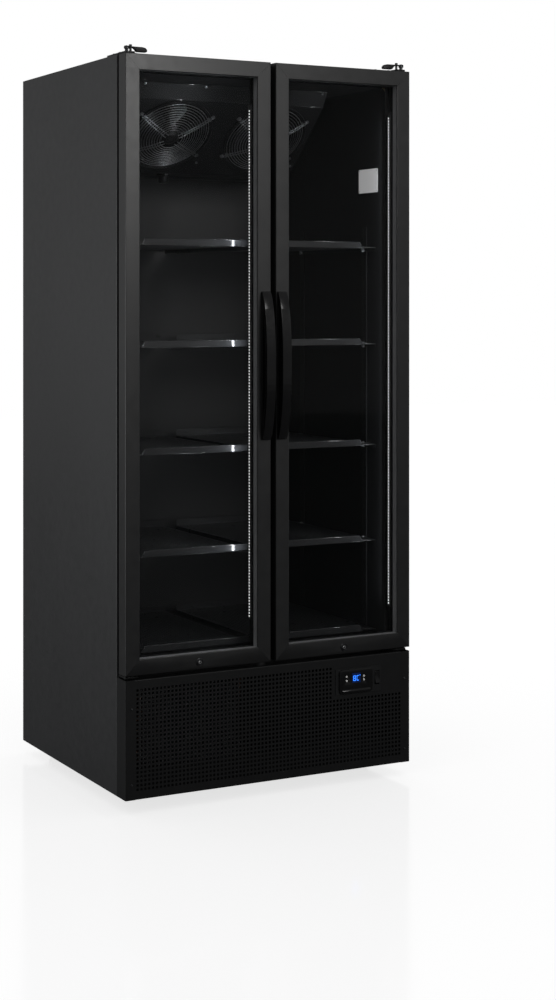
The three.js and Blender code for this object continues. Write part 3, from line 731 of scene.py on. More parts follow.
# name: patch scale, dark tone, pale tone, gloss, relief, shader settings
SOLIDS = {
    "gloss_plastic": (9.0, ("plastic", 0.85), ("plastic", 1.2), ((60.0, 4.0), 0.16, 0.24),
                      ((260.0, 2.0), 1.2e-5, 0.5), {"specular_ior_level": 0.32}),
    "moulded_plastic": (14.0, ("plastic", 2.2 * 0.8), ("plastic", 2.2 * 1.2), ((90.0, 4.0), 0.42, 0.56),
                        ((1500.0, 2.0), 4.0e-5, 0.6), {}),
    "seal_rubber": (20.0, ((0.0045,) * 3,), ((0.008,) * 3,), ((150.0, 4.0), 0.6, 0.78),
                    ((700.0, 2.0), 3.0e-5, 0.5), {}),
    "foam": (60.0, ((0.55, 0.44, 0.22),), ((0.72, 0.62, 0.36),), ((200.0,), 0.85, 0.95),
             ((350.0,), 2.0e-4), {}),
    "wheel_plastic": (45.0, ((0.016, 0.016, 0.017),), ((0.026, 0.026, 0.027),), ((120.0,), 0.45, 0.62),
                      ((900.0,), 3.0e-5), {}),
    "white_plastic": (70.0, ((0.60, 0.60, 0.59),), ((0.68, 0.68, 0.67),), ((160.0,), 0.3, 0.42),
                      ((900.0,), 1.0e-5), {}),
    # the plate's paper glows with a faint white emission: painted light that brightens it, though it is
    # no lamp
    "label_paper": (400.0, ((0.86, 0.86, 0.87),), ((0.92, 0.92, 0.93),), ((200.0,), 0.5, 0.65),
                    ((1200.0,), 1.0e-5), {"emission_color": WHITE, "emission_strength": 0.28}),
    # see-through panes with a clean reflection and faint smears
    "glass": (5.0, ((0.010, 0.012, 0.012),), ((0.014, 0.016, 0.016),), ((7.0, 5.0), 0.02, 0.05),
              None, {"alpha": 0.07, "specular_ior_level": 0.5}),
    # frosted cover over the diodes
    "lens": (300.0, ((0.016, 0.016, 0.017),), ((0.024, 0.024, 0.025),), ((200.0,), 0.3, 0.45),
             None, {}),
    "diode": (500.0, ((0.85, 0.88, 0.92),), ((0.92, 0.94, 0.97),), ((200.0,), 0.3, 0.4),
              None, {"emission_color": "led", "emission_strength": 1.1}),
    "digit_light": (500.0, ((0.01, 0.05, 0.3),), ((0.02, 0.07, 0.4),), ((200.0,), 0.3, 0.4),
                    None, {"emission_color": "display", "emission_strength": 1.6}),
    # the window carries a faint blue emission over its whole face: painted glow from the lit digits,
    # the window being no lamp
    "display_window": (80.0, ((0.002, 0.004, 0.012),), ((0.003, 0.006, 0.018),), ((90.0,), 0.06, 0.12),
                       None, {"emission_color": (0.0, 0.03, 0.22), "emission_strength": 0.2}),
}

FINISHES = {}


def finish(name):
    """The named material, made the first time that it is asked for."""
    if name not in FINISHES:
        if name in COATS:
            made = coated(name, *COATS[name])
        elif name in METALS:
            made = brushed(name, *METALS[name])
        elif name in SOLIDS:
            *values, settings = SOLIDS[name]
            made = mottled(name, *values, **settings)
        else:
            made = floor_paint(name)
        FINISHES[name] = made.material
    return FINISHES[name]


def dress(material, *nodes):
    """Gives CAD nodes a finish."""
    for name in nodes:
        mesh_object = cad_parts[name]
        if not mesh_object.material_slots:
            mesh_object.data.materials.append(material)
        for entry in mesh_object.material_slots:
            entry.link = "OBJECT"
            entry.material = material


def hand_over(piece, body, slot=None, *nodes):
    """Parents a piece to the body it rides on and hides the imported nodes that it replaces; the slot
    is not used.
    """
    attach(piece, body)
    if nodes:
        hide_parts(*nodes)
    return piece


# ---------------------------------------------------------------- shapes shared by pieces

def cut_out(obj, cutters):
    """Takes closed cutter objects out of a closed object."""
    for cutter in cutters:
        hole = obj.modifiers.new("Cut", "BOOLEAN")
        hole.operation = "DIFFERENCE"
        hole.solver = "EXACT"
        hole.object = cutter
        apply_modifiers(obj)
        discard(cutter)
    return obj


def rod_object(start, end, radius, segments=32):
    bm = bmesh.new()
    add_rod(bm, start, end, radius, segments)
    return new_object("cutter", bm)


def span_object(x, depth, z):
    bm = bmesh.new()
    add_span(bm, x, depth, z)
    return new_object("cutter", bm)


def add_plate_with_slot(bm, x, depth, z, slot_x, slot_z):
    """A plate facing the front with one rectangular slot through it."""
    rings = {}
    for face, d in (("front", min(depth)), ("back", max(depth))):
        for edge, (ex, ez) in (("out", (x, z)), ("in", (slot_x, slot_z))):
            corners = ((min(ex), min(ez)), (max(ex), min(ez)), (max(ex), max(ez)), (min(ex), max(ez)))
            rings[face, edge] = [bm.verts.new(at(a, d, c)) for a, c in corners]
    for k in range(4):
        m = (k + 1) % 4
        for a, b in ((("front", "out"), ("front", "in")), (("back", "out"), ("back", "in")),
                     (("front", "out"), ("back", "out")), (("front", "in"), ("back", "in"))):
            bm.faces.new((rings[a][k], rings[a][m], rings[b][m], rings[b][k]))


def pan_screw(name, radius, height, recess=True):
    """A small domed screw head standing on local Z, few enough faces to repeat."""
    bm = bmesh.new()
    add_lathe(bm, ((0, -0.0006), (radius, -0.0006), (radius, height * 0.35),
                   (radius * 0.82, height * 0.8), (radius * 0.45, height),
                   (0, height * (0.62 if recess else 1.0))), Matrix(), 12)
    return loose_part(name, bm, outward=True)


def hex_bolt(name, radius, height):
    """A flanged hexagon head standing on local Z."""
    bm = bmesh.new()
    add_lathe(bm, ((0, -0.0006), (radius * 1.3, -0.0006), (radius * 1.3, height * 0.18),
                   (radius * 1.02, height * 0.3)), Matrix(), 18)
    add_lathe(bm, ((0, height * 0.1), (radius, height * 0.1), (radius, height * 0.86),
                   (radius * 0.86, height), (0, height)), Matrix(), 6)
    return loose_part(name, bm, outward=True)


def add_heads(name, head, spots, aims, look):
    """One screw or bolt head at each spot of the cabinet; a single aim serves them all."""
    aims = aims if isinstance(aims, list) else [aims] * len(spots)
    return hand_over(repeated(name, head, spots, aims, finish(look)), "cabinet", "zinc_steel")


def aimed(point, direction):
    """A matrix at a point whose local Z runs along a direction."""
    return Matrix.Translation(point) @ Vector(direction).to_track_quat("Z", "Y").to_matrix().to_4x4()


def bezier(p0, p1, p2, p3, steps):
    points = []
    for k in range(steps + 1):
        t = k / steps
        a, b, c, d = (1 - t) ** 3, 3 * t * (1 - t) ** 2, 3 * t * t * (1 - t), t ** 3
        points.append(tuple(a * p + b * q + c * r + d * s for p, q, r, s in zip(p0, p1, p2, p3)))
    return points


def add_blade(bm, place, hub, tip, centre_angle, sweep, high, low, thickness):
    """One twisted fan blade with rounded tip corners, between two heights on the local axis."""
    camber, rows, columns = 0.006, 7, 7
    top, bottom = [], []
    for i in range(rows + 1):
        share = i / rows
        radius = hub + (tip - hub) * share
        half = sweep / 2 * (1.0 - 0.18 * share)
        line_top, line_low = [], []
        for j in range(columns + 1):
            along = j / columns * 2 - 1
            edge = 1.0 - 0.12 * max(0.0, share - 0.75) * 4 * abs(along) ** 3
            angle = centre_angle + half * along + 0.25 * share
            height = (high + low) / 2 + (high - low) / 2 * along + camber * (1 - along * along)
            for line, offset in ((line_top, thickness / 2), (line_low, -thickness / 2)):
                spot = Vector((radius * edge * math.cos(angle), radius * edge * math.sin(angle),
                               height + offset))
                line.append(bm.verts.new(place @ spot))
        top.append(line_top)
        bottom.append(line_low)
    for i in range(rows):
        for j in range(columns):
            bm.faces.new((top[i][j], top[i][j + 1], top[i + 1][j + 1], top[i + 1][j]))
            bm.faces.new((bottom[i][j], bottom[i + 1][j], bottom[i + 1][j + 1], bottom[i][j + 1]))
    rim = [(i, 0) for i in range(rows)] + [(rows, j) for j in range(columns)]
    rim += [(i, columns) for i in range(rows, 0, -1)] + [(0, j) for j in range(columns, 0, -1)]
    for (a, b), (c, d) in zip(rim, rim[1:] + rim[:1]):
        bm.faces.new((top[a][b], top[c][d], bottom[c][d], bottom[a][b]))


def add_impeller(bm, place, hub, tip, blades, depth, sweep, gap=0.004):
    """Hub cup and twisted blades, running on local Z below the face."""
    add_lathe(bm, ((0, -depth), (hub * 0.9, -depth), (hub, -depth + 0.003), (hub, -gap - 0.003),
                   (hub * 0.88, -gap), (0, -gap)), place, 40)
    for i in range(blades):
        add_blade(bm, place, hub * 0.94, tip, i * 2 * math.pi / blades, sweep,
                  -gap - 0.002, -depth + 0.002, 0.0018)


def guard_tree():
    """Concentric wire rings that rise in a shallow dome towards the middle."""
    tree = Tree("Guard Rings", (
        ("Rings", "Int", 12), ("First Radius", "Float", 0.0344), ("Pitch", "Float", 0.0076),
        ("Wire", "Float", 0.0026), ("Outer Radius", "Float", 0.118), ("Rise", "Float", 0.016),
        ("Floor", "Float", 0.004), ("Material", "Material", None)))
    line = tree.node("GeometryNodeMeshLine", {"Count": tree.given("Rings")}, mode="OFFSET")
    line.inputs["Offset"].default_value = (0.0, 0.0, 0.0)
    index = tree.node("GeometryNodeInputIndex").outputs[0]
    radius = tree.math("ADD", tree.math("MULTIPLY", index, tree.given("Pitch")),
                       tree.given("First Radius"))
    share = tree.math("DIVIDE", radius, tree.given("Outer Radius"))
    drop = tree.math("SUBTRACT", 1.0, tree.math("MULTIPLY", share, share))
    height = tree.math("ADD", tree.math("MULTIPLY", drop, tree.given("Rise")), tree.given("Floor"))
    placed = tree.node("GeometryNodeSetPosition", {
        "Geometry": line.outputs[0],
        "Position": tree.node("ShaderNodeCombineXYZ", {2: height}).outputs[0]})
    circle = tree.node("GeometryNodeCurvePrimitiveCircle", {"Resolution": 48, "Radius": 1.0})
    copies = tree.node("GeometryNodeInstanceOnPoints", {
        "Points": placed.outputs[0], "Instance": circle.outputs[0],
        "Scale": tree.node("ShaderNodeCombineXYZ", {0: radius, 1: radius, 2: 1.0}).outputs[0]})
    real = tree.node("GeometryNodeRealizeInstances", {"Geometry": copies.outputs[0]})
    wire = tree.node("GeometryNodeCurvePrimitiveCircle", {
        "Resolution": 6, "Radius": tree.math("MULTIPLY", tree.given("Wire"), 0.5)})
    swept = tree.node("GeometryNodeCurveToMesh", {
        "Curve": real.outputs[0], "Profile Curve": wire.outputs[0]})
    return tree.close(swept.outputs[0], tree.given("Material"))


def fan_face(side):
    """The evaporator fan's frame: Z out of its face and Y up it."""
    return Matrix.Translation(at(side * 155.5, 334, 1829)) @ Matrix.Rotation(math.radians(137), 4, "X")


# ---------------------------------------------------------------- cabinet

class MERCHANDISER_OT_panels(bpy.types.Operator):
    """Bent side skins with rounded folds, the lid and the panel screws"""
    bl_idname = "merchandiser.panels"
    bl_label = "Cabinet Panels"

    def execute(self, context):
        paint = finish("cabinet_paint")
        for name, side in SIDES:
            path = [(430.9, 0.0), (445.0, 0.0), (445.0, 683.9), (431.0, 683.9), (431.0, 682.6),
                    (443.7, 682.6), (443.7, 1.3), (430.9, 1.3)]
            path = [(side * x * MM, CAB_FRONT + d * MM) for x, d in path]
            skin = built(f"side_skin_{name}", paint,
                         (add_prism, fillet(path, 0.0032, 5), "z", 38.0 * MM, 2008.0 * MM), smooth=True)
            hand_over(skin, "cabinet", "cabinet_paint", f"{name}_side_panel")
        bm = bmesh.new()
        add_span(bm, (-443.4, 443.4), (58.2, 739.0), (2006.7, 2008.0))
        add_span(bm, (-430.5, 430.5), (56.8, 58.4), (1986.4, 2007.6))
        lid = rounded(new_object("lid_skin", bm, paint), 0.0005)
        hand_over(lid, "cabinet", "cabinet_paint", "top_panel")
        spots = [at(x, d, 2008.0) for x in (-415, -140, 140, 415) for d in (180, 420, 700)]
        add_heads("lid_screws", pan_screw("screw", 0.0042, 0.0026), spots, (0, 0, 1), "dark_screw")
        return {"FINISHED"}


class MERCHANDISER_OT_rear(bpy.types.Operator):
    """Rear louvre hoods and screws on the rear panel"""
    bl_idname = "merchandiser.rear"
    bl_label = "Rear Louvres"

    def execute(self, context):
        dress(finish("cabinet_paint"), "rear_panel")
        bm = bmesh.new()
        half = 0.170
        arc = [(0.0, 0.0052), (0.0016, 0.0050), (0.0034, 0.0036), (0.0044, 0.0016), (0.0046, -0.0052),
               (0.0037, -0.0052), (0.0035, 0.0010), (0.0027, 0.0027), (0.0013, 0.0040), (0.0, 0.0042)]
        add_prism(bm, [(y, z) for z, y in arc], "x", -half, half)
        spots = [at(x, 740.6, 102.5 + i * 19) for i in range(11) for x in (-190, 190)]
        hoods = repeated("rear_louvres", loose_part("hood", bm, outward=True), spots,
                         [(0, 1, 0)] * len(spots), finish("cabinet_paint"))
        hand_over(hoods, "cabinet", "cabinet_paint")
        spots = [at(x, 740.6, z) for x in (-424, 424) for z in (60, 345, 700, 1100, 1500, 1985)]
        spots += [at(x, 740.6, z) for x in (-215, 0, 215) for z in (60, 345, 1985)]
        add_heads("rear_screws", pan_screw("screw", 0.0040, 0.0024), spots, (0, 1, 0), "screw_steel")
        return {"FINISHED"}


class MERCHANDISER_OT_liner(bpy.types.Operator):
    """Moulded liner with soft corners, its front flange, the insulation behind it and the post"""
    bl_idname = "merchandiser.liner"
    bl_label = "Inner Liner"

    def execute(self, context):
        plastic = finish("liner_plastic")
        bm = bmesh.new()
        add_span(bm, (-398, 398), (58, 695), (393, 1963))
        front = [f for f in bm.faces if all(v.co.y < CAB_FRONT + 0.01 for v in f.verts)]
        bmesh.ops.delete(bm, geom=front, context="FACES_ONLY")
        low = 394.0 * MM
        shut = [e for e in bm.edges if len(e.link_faces) == 2]
        soft = [e for e in shut if not all(v.co.z < low for v in e.verts)]
        tight = [e for e in shut if all(v.co.z < low for v in e.verts)]
        bmesh.ops.bevel(bm, geom=soft, offset=0.018, segments=4, affect="EDGES", profile=0.5)
        tight = [e for e in tight if e.is_valid]
        if tight:
            bmesh.ops.bevel(bm, geom=tight, offset=0.0035, segments=2, affect="EDGES", profile=0.5)
        bmesh.ops.recalc_face_normals(bm, faces=bm.faces)
        centre = at(0, 300, 1200)
        probe = max(bm.faces, key=lambda f: f.calc_area())
        if (probe.calc_center_median() - centre).dot(probe.normal) > 0:
            bmesh.ops.reverse_faces(bm, faces=bm.faces)
        tub = loose_part("liner_tub", bm)
        context.scene.collection.objects.link(tub)
        tub.data.materials.append(plastic)
        wall = tub.modifiers.new("Wall", "SOLIDIFY")
        wall.thickness = 0.0015
        wall.offset = -1.0
        apply_modifiers(tub)
        shade_by_angle(tub)
        bm = bmesh.new()
        ring = [(0.0, CAB_FRONT + 0.0001), (1.0, CAB_FRONT + 0.0001),
                (1.0, CAB_FRONT + 0.0018), (0.0, CAB_FRONT + 0.0018)]
        add_mitred_ring(bm, ring, (-0.4305, 0.3380), (0.4305, 1.986), 0.0325, 0.0228)
        add_span(bm, (-398, 398), (56.9, 58.5), (341.5, 393.2))
        flange = rounded(new_object("liner_flange", bm, plastic), 0.0004)
        body = joined("liner_shell", tub, flange)
        hand_over(body, "cabinet", "liner_plastic", "inner_liner")
        dress(plastic, "center_mullion")
        dress(finish("foam"), "insulation_foam")
        dress(finish("black_enamel"), "base_frame")
        return {"FINISHED"}


class MERCHANDISER_OT_uprights(bpy.types.Operator):
    """Slotted shelf uprights on the side walls, with the shelf clips"""
    bl_idname = "merchandiser.uprights"
    bl_label = "Shelf Uprights"

    def execute(self, context):
        pitch = sizes().slot_pitch
        metal = finish("shelf_upright")
        count = int(1.2 / pitch)
        spots, aims = [], []
        for _, side in SIDES:
            for depth in UPRIGHT_DEPTHS:
                for i in range(count):
                    spots.append(at(side * 395.4, depth, UPRIGHT_FOOT) + Vector((0, 0, i * pitch)))
                    aims.append((-side, 0, 0))
        cell = cell_object("slot_cell", (pitch, 0.0235), (0.012, 0.0045), 0.0012)
        faces = repeated("upright_faces", cell, spots, aims, metal, smooth=False)
        bm = bmesh.new()
        low = UPRIGHT_FOOT - pitch / MM / 2
        high = UPRIGHT_FOOT + (count - 0.5) * pitch / MM
        for _, side in SIDES:
            for depth in UPRIGHT_DEPTHS:
                for edge in (-1, 1):
                    add_span(bm, (side * 395.4, side * 398.2),
                             (depth + edge * 10.7, depth + edge * 11.9), (low, high))
        cheeks = new_object("upright_cheeks", bm, metal)
        strip = joined("shelf_uprights", cheeks, faces)
        hand_over(strip, "cabinet", "zinc_steel")
        bm = bmesh.new()
        for _, side in SIDES:
            for z in SHELF_LEVELS:
                for depth in UPRIGHT_DEPTHS:
                    hook = [(depth - 5, z - 9), (depth + 5, z - 9), (depth + 5, z + 1),
                            (depth + 3, z + 7), (depth - 3, z + 7), (depth - 5, z + 1)]
                    add_prism(bm, side_view(hook), "x", *flip(side, 0.3885, 0.3952))
        clips = rounded(new_object("shelf_clips", bm, finish("screw_steel")), 0.0006)
        hand_over(clips, "cabinet", "zinc_steel")
        return {"FINISHED"}


class MERCHANDISER_OT_label(bpy.types.Operator):
    """Blank rating plate on the right inner wall, with its rivets"""
    bl_idname = "merchandiser.label"
    bl_label = "Blank Plate"

    def execute(self, context):
        bm = bmesh.new()
        outline = side_view(((94, 1667), (197, 1667), (197, 1736), (94, 1736)))
        add_prism(bm, fillet(outline, 0.004, 4), "x", 0.39735, 0.3979)
        # the paper finish has a faint white glow: painted light on a plate that is no lamp
        plate = new_object("blank_plate", bm, finish("label_paper"))
        hand_over(plate, "cabinet", "white_plastic")
        spots = [at(397.35, d, z) for d in (99, 192) for z in (1672, 1731)]
        rivet = pan_screw("rivet", 0.0017, 0.0009, recess=False)
        add_heads("plate_rivets", rivet, spots, (-1, 0, 0), "screw_steel")
        return {"FINISHED"}


# ---------------------------------------------------------------- evaporator

class MERCHANDISER_OT_evaporator(bpy.types.Operator):
    """Folded evaporator cover with its fan openings, rolled collars, screws, drain knob and painted
    highlight strips on its folds
    """
    bl_idname = "merchandiser.evaporator"
    bl_label = "Evaporator Cover"

    def execute(self, context):
        paint = finish("cover_paint")
        skin = [(214, 1962.6), (238, 1919), (445, 1726), (682.2, 1726), (682.2, 1962.6)]
        room = [(215.6, 1968), (239.4, 1920), (445.8, 1727.3), (687, 1727.3), (687, 1968)]
        cover = built("evaporator_housing", paint,
                      (add_prism, fillet(side_view(skin), 0.004, 3), "x", -0.3, 0.3))
        cutters = [built("cutter", None, (add_prism, side_view(room), "x", -0.2987, 0.2987))]
        for _, side in SIDES:
            face = fan_face(side)
            ends = (face @ Vector((0, 0, depth)) for depth in (-0.03, 0.03))
            cutters.append(rod_object(*ends, 0.1125, 64))
        for i in range(6):
            cutters.append(span_object((-260, 260), (560 + i * 18, 569 + i * 18), (1720, 1731)))
        cut_out(cover, cutters)
        shade_by_angle(cover, 28)
        hand_over(cover, "cabinet", "cabinet_paint", "evaporator_cover")

        bm = bmesh.new()
        for _, side in SIDES:
            face = fan_face(side)
            add_lathe(bm, ((0.1126, -0.0130), (0.1126, -0.0012), (0.1150, 0.0004), (0.1236, 0.0006),
                           (0.1256, 0.0046), (0.1276, 0.0056), (0.1294, 0.0044), (0.1302, 0.0002),
                           (0.1150, -0.0010), (0.1138, -0.0130), (0.1126, -0.0130)), face, 64)
        collars = new_object("fan_collars", bm, paint, smooth=True)
        hand_over(collars, "cabinet", "cabinet_paint")

        spots = [at(x, 217.4, 1956.8) for x in (-286, -96, 96, 286)]
        spots += [at(x, 410, 1758.2) for x in (-286, -30, 286)]
        lean, tilt = (Vector((0, -math.sin(math.radians(slope)), -math.cos(math.radians(slope))))
                      for slope in (61, 43))
        add_heads("cover_screws", pan_screw("screw", 0.0040, 0.0026), spots,
                  [lean] * 4 + [tilt] * 3, "screw_steel")
        # thin lighter, glossier strips along the cover's two bends: a painted highlight line on the
        # folds
        bm = bmesh.new()
        for d, z in ((214.6, 1961.4), (238.2, 1919.2)):
            add_tube(bm, [at(x, d, z) for x in (-297.5, 0, 297.5)], 0.0011, 8)
        fold_highlights = new_object("cover_folds", bm, finish("lip_coating"), smooth=True)
        hand_over(fold_highlights, "cabinet", "cabinet_paint")

        bm = bmesh.new()
        base = aimed(at(-109, 470, 1726), (0, 0, -1))
        add_lathe(bm, ((0, -0.001), (0.021, -0.001), (0.021, 0.004), (0.019, 0.006), (0.0165, 0.007),
                       (0.0150, 0.024), (0.0125, 0.027), (0, 0.027)), base, 28)
        knob = new_object("drain_knob", bm, finish("fan_plastic"), smooth=True)
        hand_over(knob, "cabinet", "moulded_plastic")
        dress(finish("coated_fins"), "evaporator_coil")
        return {"FINISHED"}


class MERCHANDISER_OT_fans(bpy.types.Operator):
    """Evaporator fans: domed wire guards, motor bosses and twisted blades"""
    bl_idname = "merchandiser.fans"
    bl_label = "Evaporator Fans"

    def execute(self, context):
        wire, pitch = sizes().guard_wire, sizes().guard_pitch
        outer = 0.118
        rings = int((outer - 0.032) / pitch) + 1
        first = outer - (rings - 1) * pitch
        for name, side in SIDES:
            face = fan_face(side)
            guard = points_object("guard_rings", [(0, 0, 0)])
            group = bpy.data.node_groups.get("Guard Rings") or guard_tree()
            run_tree(guard, group, rings=rings, first_radius=first, pitch=pitch, wire=wire,
                     outer_radius=outer, rise=0.016, floor=0.0040, material=finish("guard_wire"))
            guard.data.transform(face)
            shade_by_angle(guard, 80)
            bm = bmesh.new()
            for degrees in GUARD_SPOKES:
                turn = Matrix.Rotation(math.radians(degrees), 4, "Z")
                for offset in (-0.006, 0.006):
                    line = []
                    for k in range(9):
                        r = 0.022 + (0.128 - 0.022) * k / 8
                        share = min(r, outer) / outer
                        height = 0.016 * (1 - share * share) + 0.0040 + wire * 0.9
                        line.append(face @ turn @ Vector((r, offset * (1 - 0.35 * share), height)))
                    add_tube(bm, line, wire * 0.55, 8)
                ear = fillet([(0.116, -0.0065), (0.141, -0.0065), (0.141, 0.0065), (0.116, 0.0065)],
                             0.006, 4)
                low = [bm.verts.new(face @ turn @ Vector((a, b, 0.0010))) for a, b in ear]
                top = [bm.verts.new(face @ turn @ Vector((a, b, 0.0030))) for a, b in ear]
                for k in range(len(ear)):
                    m = (k + 1) % len(ear)
                    bm.faces.new((low[k], low[m], top[m], top[k]))
                bm.faces.new(low[::-1])
                bm.faces.new(top)
            spokes = new_object("guard_spokes", bm, finish("guard_wire"), smooth=True)
            bm = bmesh.new()
            add_lathe(bm, ((0, 0.0040), (0.0255, 0.0040), (0.0262, 0.0065), (0.0255, 0.0125),
                           (0.0215, 0.0158), (0.0130, 0.0172), (0.0125, 0.0160), (0.0060, 0.0160),
                           (0.0055, 0.0172), (0, 0.0174)), face, 36)
            add_lathe(bm, ((0, -0.026), (0.004, -0.026), (0.004, 0.006), (0, 0.006)), face, 16)
            boss = new_object("motor_boss", bm, finish("fan_plastic"), smooth=True)
            whole = joined(f"fan_guard_wires_{name}", guard, spokes, boss)
            hand_over(whole, "cabinet", "black_enamel", f"fan_guard_{name}")
            spots = [face @ Matrix.Rotation(math.radians(a), 4, "Z") @ Vector((0.1315, 0, 0.0030))
                     for a in GUARD_SPOKES]
            out = face.to_3x3() @ Vector((0, 0, 1))
            add_heads(f"guard_screws_{name}", pan_screw("screw", 0.0042, 0.0026), spots, out,
                      "screw_steel")
            blades = built(f"evaporator_blades_{name}", finish("fan_plastic"),
                           (add_impeller, face, 0.028, 0.0965, 5, 0.034, 1.02), smooth=True)
            hand_over(blades, f"evaporator_fan_{name}", "moulded_plastic", f"fan_blade_{name}")
        return {"FINISHED"}


# ---------------------------------------------------------------- shelves

class MERCHANDISER_OT_shelves(bpy.types.Operator):
    """Perforated trays with rolled front lips, turned edges, rear fences and a bright wire painted as
    the highlight on each lip's end
    """
    bl_idname = "merchandiser.shelves"
    bl_label = "Shelves"

    def execute(self, context):
        coat = finish("shelf_coating")
        pitch, hole = sizes().shelf_pitch, sizes().shelf_hole
        levels = [("shelf", i + 1, z, 19.0, 24.0) for i, z in enumerate(SHELF_LEVELS)]
        levels.append(("floor_shelf", None, 401.3, 19.0, 21.0))
        columns, rows = int(0.356 / pitch), int(0.520 / pitch)
        rim_x = (376 - columns * pitch / MM) / 2
        rim_y = (545 - rows * pitch / MM) / 2
        for name, side in SIDES:
            for kind, number, low, lip_height, fence in levels:
                node = f"{kind}_{name}" + (f"_{number}" if number else "")
                piece_name = node.replace("shelf", "tray", 1)
                place = Matrix.Translation(at(side * 207, 372.5, low + 3.5))
                sheet = perforated_sheet(piece_name, columns, rows, pitch, hole, 0.0015, place, coat)
                bm = bmesh.new()
                x0, x1 = flip(side, 19, 395)
                add_span(bm, (x0, x0 + rim_x), (100, 645), (low + 2, low + 3.5))
                add_span(bm, (x1 - rim_x, x1), (100, 645), (low + 2, low + 3.5))
                for d in ((100, 100 + rim_y), (645 - rim_y, 645)):
                    add_span(bm, (x0 + rim_x, x1 - rim_x), d, (low + 2, low + 3.5))
                for x in ((x0, x0 + 1.5), (x1 - 1.5, x1)):
                    add_span(bm, x, (101, 644), (low - 8 if kind == "shelf" else low - 7.8, low + 2.2))
                add_span(bm, (x0, x1), (643.5, 645), (low - 2, low + fence))
                frame_edge = rounded(new_object("tray_edges", bm, coat), 0.0004, 1)
                bm = bmesh.new()
                lip = [(100.0, low + 0.6), (100.6, low), (101.2, low), (101.7, low + 1.0),
                       (101.7, low + lip_height - 2.4), (103.4, low + lip_height - 1.9),
                       (103.4, low + lip_height - 0.3), (101.9, low + lip_height),
                       (100.6, low + lip_height - 0.7), (100.0, low + lip_height - 2.0)]
                ends = flip(side, 19, 348)
                add_prism(bm, side_view(lip), "x", ends[0] * MM, ends[1] * MM)
                for vert in bm.verts:
                    if abs(vert.co.x) > 0.347 and vert.co.z > (low + 7) * MM:
                        vert.co.x -= side * 0.007
                front = rounded(new_object("tray_lip", bm, finish("lip_coating")), 0.0003, 1)
                # a thin bright metal wire along the lip's slanted end: a painted highlight on the end
                # of the lip
                bm = bmesh.new()
                turn = [(348.6, 100.8, 2.0), (348.2, 100.8, 7.0), (344.0, 100.9, 12.0),
                        (341.4, 101.4, lip_height - 1.4)]
                add_tube(bm, [at(side * x, d, low + z) for x, d, z in turn], 0.0008, 8)
                end_highlight = new_object("tray_hem", bm, finish("guard_wire"), smooth=True)
                tray = joined(piece_name, sheet, frame_edge, front, end_highlight)
                hand_over(tray, "cabinet", "shelf_coating", node)
        return {"FINISHED"}


# ---------------------------------------------------------------- doors

